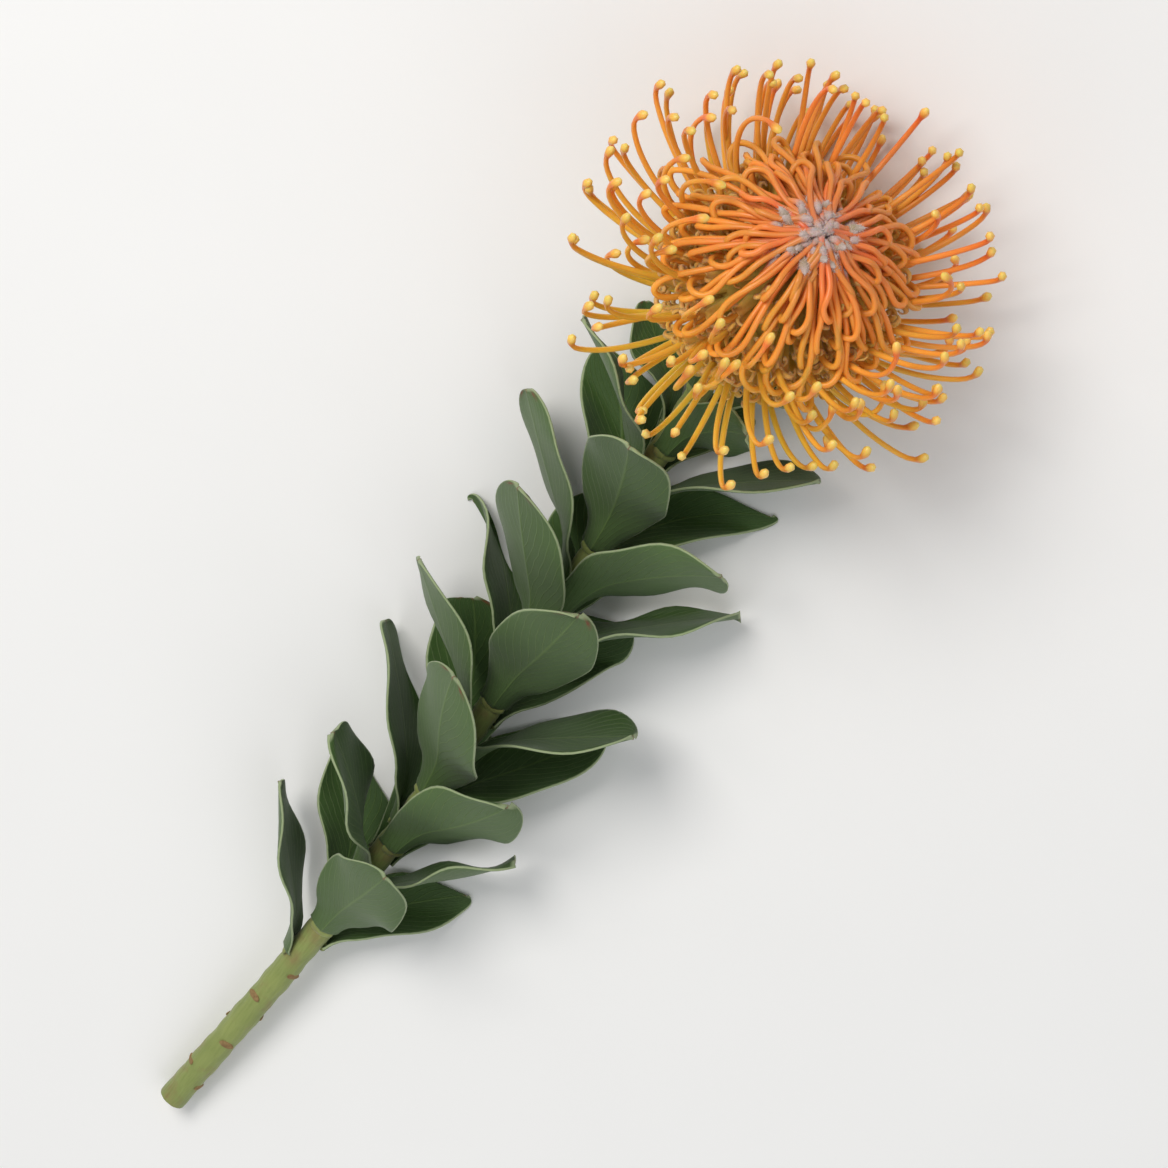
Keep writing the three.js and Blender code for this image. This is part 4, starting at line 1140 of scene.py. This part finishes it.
# %% [markdown]
# The leaves are leathery and matt, dark grey-green with a bloom of tiny hairs, paler along the rim.
# Thin veins leave the midrib at a steep angle and run forwards. A sine of the blade's own UV map
# draws them, so that they follow its form, and a bump raises them a tenth of a millimetre.

# %% Leathery leaf
VEINS_PER_LENGTH = 10
VEIN_SLANT, VEIN_WAVER, VEIN_FROM, VEIN_STRENGTH = -1.15, 0.06, 0.88, 0.2
RIB_LINE_FROM, RIB_LINE_TO = 0.022, 0.006
RIM_FROM, RIM_TO = 0.484, 0.496
TIP_FROM, TIP_TO = 0.985, 0.996

leaf_skin, tree, shader, place = surface("leathery_matt_leaf")
uv = add(tree, "ShaderNodeUVMap", out="UV", uv_map="blade")
blade = add(tree, "ShaderNodeSeparateXYZ", {"Vector": uv}).outputs
centred = add(tree, "ShaderNodeMath", {0: blade["X"], 1: 0.5}, out=0, operation="SUBTRACT")
off_rib = add(tree, "ShaderNodeMath", {0: centred}, out=0, operation="ABSOLUTE")
slanted = {0: off_rib, 1: VEIN_SLANT, 2: blade["Y"]}
slanted = add(tree, "ShaderNodeMath", slanted, out=0, operation="MULTIPLY_ADD")
waver = add(tree, "ShaderNodeTexNoise", {"Vector": place, "Scale": 1 / (6 * MM)}, out="Fac")
wavered = {0: waver, 1: VEIN_WAVER, 2: slanted}
wavered = add(tree, "ShaderNodeMath", wavered, out=0, operation="MULTIPLY_ADD")
phase = {0: wavered, 1: math.tau * VEINS_PER_LENGTH}
phase = add(tree, "ShaderNodeMath", phase, out=0, operation="MULTIPLY")
wave = add(tree, "ShaderNodeMath", {0: phase}, out=0, operation="SINE")
veins = {"Value": wave, "From Min": VEIN_FROM, "From Max": 1.0}
veins = add(tree, "ShaderNodeMapRange", veins, out=0)
rib_line = {"Value": off_rib, "From Min": RIB_LINE_FROM, "From Max": RIB_LINE_TO}
rib_line = add(tree, "ShaderNodeMapRange", rib_line, out=0)
all_veins = add(tree, "ShaderNodeMath", {0: veins, 1: rib_line}, out=0, operation="MAXIMUM")
faint = add(tree, "ShaderNodeMath", {0: all_veins, 1: VEIN_STRENGTH}, out=0, operation="MULTIPLY")
edge_line = {"Value": off_rib, "From Min": RIM_FROM, "From Max": RIM_TO}
edge_line = add(tree, "ShaderNodeMapRange", edge_line, out=0)
tip_line = {"Value": blade["Y"], "From Min": TIP_FROM, "From Max": TIP_TO}
tip_line = add(tree, "ShaderNodeMapRange", tip_line, out=0)
rim = add(tree, "ShaderNodeMath", {0: edge_line, 1: tip_line}, out=0, operation="MAXIMUM")
LEAF_TRAITS = ("tone", "underside", "callus")
traits = [add(tree, "ShaderNodeAttribute", out="Fac", attribute_name=n) for n in LEAF_TRAITS]
tone, underside, hard = traits
patch_inputs = {"Vector": place, "Scale": 1 / (9 * MM), "Detail": 3.0}
patches = add(tree, "ShaderNodeTexNoise", patch_inputs, out="Fac")
bloom_inputs = {"Vector": place, "Scale": 1 / (0.35 * MM), "Roughness": 0.8}
bloom = add(tree, "ShaderNodeTexNoise", bloom_inputs, out="Fac")
haze = {"Value": bloom, "From Min": 0.5, "From Max": 0.75, "To Max": 0.11}
haze = add(tree, "ShaderNodeMapRange", haze, out=0)
blend = {0: patches, 6: linear("2a4416"), 7: linear("3e5e20")}
colour = add(tree, "ShaderNodeMix", blend, out=2, data_type="RGBA")
# A layer's row: where it lies, its colours there, and its strength. With no low colour, the
# colour so far stands in for it.
LAYERS = [
    (tone, "30491a", "486a28", 0.35),
    (underside, None, "73875a", 0.26),
    (faint, None, "86a050", 1),
    (rim, None, "98a67c", 1),
    (haze, None, "7b8f66", 1),
    (hard, None, "7c3420", 1),
]
for share, low, high, strength in LAYERS:
    over = {0: share, 6: linear(low) if low else colour, 7: linear(high)}
    over = add(tree, "ShaderNodeMix", over, out=2, data_type="RGBA")
    colour = add(tree, "ShaderNodeMix", {0: strength, 6: colour, 7: over}, out=2, data_type="RGBA")
relief = add(tree, "ShaderNodeMath", {0: all_veins, 1: bloom}, out=0, operation="ADD")
normal = add(tree, "ShaderNodeBump", {"Height": relief, "Distance": 0.1 * MM}, out="Normal")
feed(tree, shader, {"Base Color": colour, "Normal": normal, "Roughness": 0.6, "IOR": 1.45})
feed(tree, shader, {"Sheen Weight": 0.12, "Sheen Roughness": 0.5, "Subsurface Weight": 0.05})
feed(tree, shader, {"Subsurface Radius": (0.4, 1.0, 0.2), "Subsurface Scale": 0.5 * MM})
print("leaf material:", leaf_skin.name)

# %% [markdown]
# Thirty-three blades are made from the plan by one function, each its own piece, because leaves are
# separate things that a reader may want to move or drop. The UV map holds each point's place on the
# blade: across in X and from foot to tip in Y.

# %% Leaves
def leaf_piece(number):
    points, hardness = blade_grids(number)
    half = len(points) // 2
    columns = {"callus": hardness, "underside": [0.0] * half + [1.0] * half}
    columns["tone"] = [chance(number, "leaf tone")] * len(points)
    faces = sheet_faces(len(BLADE_ROWS), len(BLADE_COLUMNS))
    piece = closed_body(f"leaf_blade_{number:02d}", points, faces, leaf_skin, columns)
    spots = [(0.5 + edge / 2, min(1, max(0, run))) for run in BLADE_ROWS for edge in BLADE_COLUMNS] * 2
    layer = piece.data.uv_layers.new(name="blade")
    layer.data.foreach_set("uv", [v for loop in piece.data.loops for v in spots[loop.vertex_index]])
    return piece


leaves = [leaf_piece(number) for number in range(1, LEAF_COUNT + 1)]
print("leaves:", len(leaves), "of", len(leaves[0].data.polygons), "faces")

# %% [markdown]
# The stem is young wood with a green-yellow bark that weathers to red-brown in patches, finely
# ridged along its length. The ridges are noise stretched along the stem. Scars of fallen leaves are
# corky and brown.

# %% Green bark
RIDGE_SHARE = 0.25
STRETCHED_ALONG = (1.0, 0.08, 1.0)

bark, tree, shader, place = surface("green_ridged_bark")
clouds = add(tree, "ShaderNodeTexNoise", {"Vector": place, "Scale": 1 / (14 * MM)}, out="Fac")
blend = {0: clouds, 6: linear("6f8038"), 7: linear("96a052")}
colour = add(tree, "ShaderNodeMix", blend, out=2, data_type="RGBA")
flush_inputs = {"Vector": place, "Scale": 1 / (8 * MM), "Detail": 3.0, "Roughness": 0.6}
flush = add(tree, "ShaderNodeTexNoise", flush_inputs, out="Fac")
flush = {"Value": flush, "From Min": 0.52, "From Max": 0.7, "To Max": 0.5}
flush = add(tree, "ShaderNodeMapRange", flush, out=0)
flushed = {0: flush, 6: colour, 7: linear("87553a")}
colour = add(tree, "ShaderNodeMix", flushed, out=2, data_type="RGBA")
stretched = {"Vector": place, "Scale": STRETCHED_ALONG}
stretched = add(tree, "ShaderNodeMapping", stretched, out="Vector")
ridges = add(tree, "ShaderNodeTexNoise", {"Vector": stretched, "Scale": 1 / (0.7 * MM)}, out="Fac")
ridged = {0: ridges, 6: linear("4d5a28"), 7: linear("b3b77a")}
ridged = add(tree, "ShaderNodeMix", ridged, out=2, data_type="RGBA")
colour = add(tree, "ShaderNodeMix", {0: RIDGE_SHARE, 6: colour, 7: ridged}, out=2, data_type="RGBA")
normal = add(tree, "ShaderNodeBump", {"Height": ridges, "Distance": 0.25 * MM}, out="Normal")
feed(tree, shader, {"Base Color": colour, "Normal": normal, "Roughness": 0.7, "Sheen Weight": 0.25})

scar_skin, tree, shader, place = surface("corky_leaf_scar")
grain = add(tree, "ShaderNodeTexNoise", {"Vector": place, "Scale": 1 / (0.8 * MM)}, out="Fac")
blend = {0: grain, 6: linear("6a4a2c"), 7: linear("a58a5a")}
colour = add(tree, "ShaderNodeMix", blend, out=2, data_type="RGBA")
normal = add(tree, "ShaderNodeBump", {"Height": grain, "Distance": 0.15 * MM}, out="Normal")
feed(tree, shader, {"Base Color": colour, "Normal": normal, "Roughness": 0.9})
print("bark materials:", bark.name, scar_skin.name)

# %% [markdown]
# The stem is one more swept strand, with many sides. Two slow ripples make its girth slightly
# uneven, as young wood is. It stops just inside the cut, where its own face is set.

# %% Stem
STEM_RINGS, STEM_SIDES = 150, 28
CUT_INSET, TOP_INSET = 0.25, 0.02
SKIN_SHARE = 0.975
KNOT_FADE, KNOT_SUNK = 6, 0.05
# The two ripples that the swellings are made of: height in mm, radians per mm, and phase.
KNOT_RIPPLES = [(0.12, 0.9, 0.0), (0.1, 0.37, 1.0)]

stem_path, stem_girths = [], []
for i in range(STEM_RINGS + 1):
    distance = mix(CUT_INSET, stem_length - TOP_INSET, i / STEM_RINGS)
    knots = sum(high * math.sin(distance * rate + phase) for high, rate, phase in KNOT_RIPPLES)
    fade = ease(distance / KNOT_FADE) * ease((stem_length - distance) / KNOT_FADE)
    stem_path.append(stem_at(distance)[0])
    stem_girths.append((stem_radius(distance) * SKIN_SHARE + (knots - KNOT_SUNK) * fade) * MM)
stem = swept("stem_bark", [(stem_path, {"girth": stem_girths})], bark, sides=STEM_SIDES)

# %% [markdown]
# Leaf cushions, scars and bract scales are small shapes repeated. A third tree sets a copy of a
# shape on each marked point, turned so that its back is on the bark, and scaled by its own size.

# %% The tree that sets small shapes on points
SET_INPUTS = {"Shape": "NodeSocketObject", "Material": "NodeSocketMaterial"}
setting, given, result = new_tree("set_on_points", SET_INPUTS)
shape = {"Object": given["Shape"], "As Instance": True}
shape = add(setting, "GeometryNodeObjectInfo", shape, out="Geometry")
kind = "GeometryNodeInputNamedAttribute"
turn = add(setting, kind, {"Name": "turned"}, out="Attribute", data_type="FLOAT_VECTOR")
scale = add(setting, kind, {"Name": "scaled"}, out="Attribute", data_type="FLOAT_VECTOR")
turn = add(setting, "FunctionNodeEulerToRotation", {"Euler": turn}, out=0)
copies = {"Points": given["Geometry"], "Instance": shape, "Rotation": turn, "Scale": scale}
copies = add(setting, "GeometryNodeInstanceOnPoints", copies, out=0)
end_tree(setting, result, copies, given["Material"])


def turned_to(forward, outward):
    """Euler angles that point Y forward and Z outward."""
    across_both = forward.cross(outward).normalized()
    return Matrix((across_both, outward.cross(across_both), outward)).transposed().to_euler()


def set_out(name, spots, shape, material):
    """Copies of a shape. Each spot is its place in mm, its turn and its scale."""
    mesh = bpy.data.meshes.new(name + "_marks")
    mesh.from_pydata([place * MM for place, _, _ in spots], [], [])
    for key, column in (("turned", 1), ("scaled", 2)):
        flat = [value for spot in spots for value in spot[column]]
        mesh.attributes.new(key, "FLOAT_VECTOR", "POINT").data.foreach_set("vector", flat)
    return grown(name, mesh, setting, {"Shape": shape, "Material": material})


print("setting tree:", len(setting.nodes), "nodes")

# %% [markdown]
# Leaves that were stripped from the stem's foot left small half-moon scars, in the same spiral, and
# each leaf that is left sits on a low green cushion. Both are one low dome, so they share a shape.

# %% Leaf scars and cushions
SCARS = 9
SCAR_FIRST, SCAR_STEP = 9, 5.9
SCAR_SIZE = (2.3, 1.1, 0.42)
SCAR_AT_RADIUS, SCAR_SUNK = 0.93, 0.1
CUSHION_AT_RADIUS, CUSHION_BACK = 0.9, 0.6
CUSHION_WIDEST, CUSHION_LENGTH, CUSHION_HEIGHT = 3.6, 2.0, 0.85

dome_mesh = bpy.data.meshes.new("dome")
dome_form = bmesh.new()
bmesh.ops.create_uvsphere(dome_form, u_segments=14, v_segments=8, radius=MM)
dome_form.to_mesh(dome_mesh)
dome_form.free()
dome_mesh.shade_smooth()
dome = linked("dome_shape", dome_mesh)

scar_spots, cushion_spots = [], []
for k in range(SCARS):
    distance = SCAR_FIRST + k * SCAR_STEP
    seat = {"azimuth": (k - SCARS + 1) * GOLDEN_ANGLE + FIRST_AZIMUTH}
    point, forward, outward = leaf_seat(seat, distance)
    place = point + outward * (stem_radius(distance) * SCAR_AT_RADIUS - SCAR_SUNK)
    scar_spots.append((place, turned_to(forward, outward), SCAR_SIZE))
for number in range(1, LEAF_COUNT + 1):
    plan = leaf_plan(number)
    point, forward, outward = leaf_seat(plan, plan["distance"] - CUSHION_BACK)
    place = point + outward * (stem_radius(plan["distance"]) * CUSHION_AT_RADIUS)
    wide = min(CUSHION_WIDEST, leaf_half_width(0, plan["width"]))
    size = (wide, CUSHION_LENGTH, CUSHION_HEIGHT)
    cushion_spots.append((place, turned_to(forward, outward), size))
scars = set_out("leaf_scars", scar_spots, dome, scar_skin)
cushions = set_out("leaf_cushions", cushion_spots, dome, bark)

# %% [markdown]
# The cut end shows what the stem is: a thin green bark, a ring of pale wood and a soft brown pith.
# The face is a shallow stack of rings, so that light catches the cutter's slight dish, and its
# colours follow the distance from the centre, kept as an attribute.

# %% Cut face
CUT_STOPS = [(0.0, "8a6a40"), (0.24, "a98a58"), (0.3, "d9cf9a"), (0.8, "cfc78c")]
CUT_STOPS += [(0.88, "8f9a48"), (1.0, "5f6a30")]
PORE_SHARE = 0.25
# A ring's share of the face's radius, and how deep it lies in the stem, in mm.
CUT_RINGS = [(0.12, 0.13), (0.24, 0.15), (0.3, 0.1), (0.5, 0.06), (0.7, 0.04), (0.85, 0.03)]
CUT_RINGS += [(0.93, 0.03), (1.0, 0.15), (1.0, 0.7)]
CUT_SIDES = 36
CUT_AT_RADIUS = 0.965
MIDDLE_INSET = 0.15
CUT_RIPPLE, CUT_RIPPLES = 0.03, 9

cut_skin, tree, shader, place = surface("fresh_cut_wood")
off_centre = add(tree, "ShaderNodeAttribute", out="Fac", attribute_name="off_centre")
colour = add(tree, "ShaderNodeValToRGB", {"Fac": off_centre}, CUT_STOPS, "Color")
pores = add(tree, "ShaderNodeTexNoise", {"Vector": place, "Scale": 1 / (0.5 * MM)}, out="Fac")
grain = {0: pores, 6: linear("7a6236"), 7: linear("e9e0b4")}
grain = add(tree, "ShaderNodeMix", grain, out=2, data_type="RGBA")
colour = add(tree, "ShaderNodeMix", {0: PORE_SHARE, 6: colour, 7: grain}, out=2, data_type="RGBA")
normal = add(tree, "ShaderNodeBump", {"Height": pores, "Distance": 0.12 * MM}, out="Normal")
feed(tree, shader, {"Base Color": colour, "Normal": normal, "Roughness": 0.75})

point, forward, side, up = stem_at(0.0)
cut_radius = stem_radius(0) * CUT_AT_RADIUS
cut_points, cut_shares = [], []
for share, inset in CUT_RINGS:
    for k in range(CUT_SIDES):
        angle = math.tau * k / CUT_SIDES
        outward = (side * math.cos(angle) + up * math.sin(angle)) * (cut_radius * share)
        ripple = CUT_RIPPLE * math.sin(angle * CUT_RIPPLES) * share
        cut_points.append(point + outward + forward * (inset + ripple + CUT_RIPPLE))
        cut_shares.append(share)
cut_points += [point + forward * MIDDLE_INSET, point + forward * CUT_RINGS[-1][1]]
cut_columns = {"off_centre": cut_shares + [0.0, 0.0]}
cut_faces = ring_faces(len(CUT_RINGS), CUT_SIDES)
cut_face = closed_body("cut_face", cut_points, cut_faces, cut_skin, cut_columns)
print("cut face:", len(cut_face.data.polygons), "faces")

# %% [markdown]
# Under the head is a cup of small bracts, felted grey-green with brown points. The cup's body is
# one smooth closed form, and pointed scales are set on it afterwards. Felt is a soft sheen with a
# fine grain.

# %% Felted bracts
CUP_ROWS, CUP_COLUMNS = 15, 36
CUP_FOOT_RADIUS = 4.6
CUP_SHARE, CUP_WIDENING = 0.97, 1.1
TURNED_IN_FROM, TURNED_IN = 0.8, 0.8
BRACT_FELT_SHARE = 0.4

bract_skin, tree, shader, place = surface("felted_green_bract")
clouds = add(tree, "ShaderNodeTexNoise", {"Vector": place, "Scale": 1 / (3 * MM)}, out="Fac")
blend = {0: clouds, 6: linear("86964c"), 7: linear("aab068")}
colour = add(tree, "ShaderNodeMix", blend, out=2, data_type="RGBA")
fuzz_inputs = {"Vector": place, "Scale": 1 / (0.4 * MM), "Detail": 3.0, "Roughness": 0.7}
fuzz = add(tree, "ShaderNodeTexNoise", fuzz_inputs, out="Fac")
felt = {0: fuzz, 6: linear("5d6a36"), 7: linear("c9cba2")}
felt = add(tree, "ShaderNodeMix", felt, out=2, data_type="RGBA")
colour = add(tree, "ShaderNodeMix", {0: BRACT_FELT_SHARE, 6: colour, 7: felt}, out=2, data_type="RGBA")
pointed = add(tree, "ShaderNodeAttribute", out="Fac", attribute_name="point")
tipped = {0: pointed, 6: colour, 7: linear("8a5a3c")}
colour = add(tree, "ShaderNodeMix", tipped, out=2, data_type="RGBA")
normal = add(tree, "ShaderNodeBump", {"Height": fuzz, "Distance": 0.15 * MM}, out="Normal")
feed(tree, shader, {"Base Color": colour, "Normal": normal, "Roughness": 0.88})
feed(tree, shader, {"Sheen Weight": 0.5, "Sheen Roughness": 0.4})


def cup_radius(share):
    turned_in = TURNED_IN * ease((share - TURNED_IN_FROM) / (1 - TURNED_IN_FROM))
    return mix(CUP_FOOT_RADIUS, BRACT_CUP_RADIUS, ease(share * CUP_WIDENING)) - turned_in


def cup_place(share, angle):
    return head_point(cup_radius(share) * CUP_SHARE, angle, mix(-BRACT_CUP_HEIGHT, 0, share))


cup_points = []
for i in range(CUP_ROWS):
    turns = [math.tau * k / CUP_COLUMNS for k in range(CUP_COLUMNS)]
    cup_points += [cup_place(i / (CUP_ROWS - 1), turn) for turn in turns]
cup_points += [head_point(0, 0, -BRACT_CUP_HEIGHT), head_point(0, 0, 0)]
bract_cup = closed_body("bract_cup", cup_points, ring_faces(CUP_ROWS, CUP_COLUMNS), bract_skin)
print("bract cup:", len(bract_cup.data.polygons), "faces")

# %% [markdown]
# Each bract is a pointed scale that overlaps the ones above it. One scale of fifty-eight faces is
# made as a thin sheet, and the setting tree puts it round the cup by the golden angle, small at the
# foot and larger at the rim.

# %% Bract scales
# A row's place from foot to point, its width and how far it stands off, all in shares of the scale.
SCALE_ROWS = [(0.0, 0.75, 0.0), (0.25, 0.98, 0.12), (0.5, 0.95, 0.2)]
SCALE_ROWS += [(0.72, 0.7, 0.24), (0.88, 0.38, 0.3), (1.0, 0.05, 0.42)]
SCALE_COLUMNS = [-1, -0.5, 0, 0.5, 1]
SCALE_THICKNESS, EDGE_THINNED, POINT_THICK = 0.12, 0.7, 1.1
SCALE_CROWN, SCALE_SUNK = 0.14, 0.06
BROWN_FROM = 0.6
BRACT_SCALES = 58
SMALL_SCALE, LARGE_SCALE = 2.6, 3.9
SCALES_UP_TO, CLIMB_STEP = 0.85, 0.1
SCALE_WIDTH, SCALE_HEIGHT = 1.05, 0.9

scale_points, scale_tips = [], []
for thickness in (SCALE_THICKNESS, 0.0):
    for run, wide, raised in SCALE_ROWS:
        for edge in SCALE_COLUMNS:
            crown = SCALE_CROWN * (1 - edge * edge) * wide
            thick = thickness * (1 - EDGE_THINNED * abs(edge)) * (POINT_THICK - run)
            scale_points.append(Vector((edge * wide * 0.5, run, raised + crown + thick - SCALE_SUNK)))
            scale_tips.append(ease((run - BROWN_FROM) / (1 - BROWN_FROM)))
scale_faces = sheet_faces(len(SCALE_ROWS), len(SCALE_COLUMNS))
scale_shape = closed_body("scale_shape", scale_points, scale_faces, columns={"point": scale_tips})

scale_spots = []
for k in range(BRACT_SCALES):
    share = (k + 0.5) / BRACT_SCALES
    low, angle = share * SCALES_UP_TO, k * GOLDEN_ANGLE
    place = cup_place(low, angle)
    climb = (cup_place(low + CLIMB_STEP, angle) - place).normalized()
    sideways = head_point(1, angle + math.pi / 2, 0) - HEAD_BASE
    outward = sideways.cross(climb).normalized()
    outward *= 1 if outward.dot(place - HEAD_BASE) > 0 else -1
    size = mix(SMALL_SCALE, LARGE_SCALE, share)
    sizes = (size * SCALE_WIDTH, size, size * SCALE_HEIGHT)
    scale_spots.append((place, turned_to(climb, outward), sizes))
bract_scales = set_out("bract_scales", scale_spots, scale_shape, bract_skin)
bpy.data.objects.remove(scale_shape)
bpy.data.objects.remove(dome)

# %% [markdown]
# Every piece belongs to the one rigid body, and stands for the imported solid it was grown from.

# %% Bind the pieces to the part
HEAD_PIECES = [free_styles, looped_styles, sheaths, lobes, receptacle, buds]
HEAD_PIECES += [bud_wool, held_wool, lobe_wool]
for piece in HEAD_PIECES:
    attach(piece, "root")
    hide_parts("flower_head")
for piece in (stem, scars, cushions, cut_face):
    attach(piece, "root")
    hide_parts("stem")
for piece in (bract_cup, bract_scales):
    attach(piece, "root")
    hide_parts("involucral_bracts")
for number, piece in enumerate(leaves, start=1):
    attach(piece, "root")
    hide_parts(f"leaf_{number:02d}")
print("bound:", len(HEAD_PIECES) + len(leaves) + 6, "pieces")

# %% [markdown]
# The stage is a plain pale table, wide enough to fill the view. It is a matt board, so that it
# takes soft shadows and no glare.

# %% Table
TABLE_HALF = 1.5

table_skin, tree, shader, place = surface("pale_matt_board")
clouds = add(tree, "ShaderNodeTexNoise", {"Vector": place, "Scale": 1 / (60 * MM)}, out="Fac")
blend = {0: clouds, 6: linear("f1f0ee"), 7: linear("f4f3f1")}
colour = add(tree, "ShaderNodeMix", blend, out=2, data_type="RGBA")
feed(tree, shader, {"Base Color": colour, "Roughness": 0.9, "IOR": 1.45})
table_mesh = bpy.data.meshes.new("table_top")
corners = [(x * TABLE_HALF, y * TABLE_HALF, 0) for x, y in ((-1, -1), (1, -1), (1, 1), (-1, 1))]
table_mesh.from_pydata(corners, [], [(0, 1, 2, 3)])
table_mesh.materials.append(table_skin)
table_top = linked("table_top", table_mesh)
print("table laid")

# %% [markdown]
# Soft studio light: one large lamp above on the left as the main light, a weaker one on the right
# so that shadows stay open, one at the foot, and a pale sky round it all. The photo is a bright,
# plain product picture, so colours go to the screen as they are, with no film curve.

# %% Lights
# A lamp's row: its name, place and width in metres, its power in watts, and its tint.
LAMPS = [
    ("key_lamp", (-0.75, 0.45, 1.15), 0.7, 13.0, (1.0, 0.98, 0.95)),
    ("fill_lamp", (0.95, -0.15, 0.9), 1.1, 3.5, (0.97, 0.99, 1.0)),
    ("foot_lamp", (0.0, -1.1, 0.7), 0.8, 2.0, (1.0, 1.0, 1.0)),
]
LAMP_AIM = Vector((0, 0, 0.03))
SKY_TINT, SKY_STRENGTH = (0.93, 0.96, 1.0, 1.0), 0.38
for name, place, width, watts, tint in LAMPS:
    lamp = bpy.data.lights.new(name, "AREA")
    lamp.size = width
    lamp.energy = watts
    lamp.color = tint
    lamp_object = bpy.data.objects.new(name, lamp)
    lamp_object.location = place
    lamp_object.rotation_euler = (LAMP_AIM - Vector(place)).to_track_quat("-Z", "Y").to_euler()
    bpy.context.scene.collection.objects.link(lamp_object)
world = bpy.data.worlds.new("pale_sky")
world.use_nodes = True
sky = {"Color": SKY_TINT, "Strength": SKY_STRENGTH}
feed(world.node_tree, world.node_tree.nodes["Background"], sky)
bpy.context.scene.world = world
bpy.context.scene.view_settings.view_transform = "Standard"
print("lamps:", len(LAMPS))
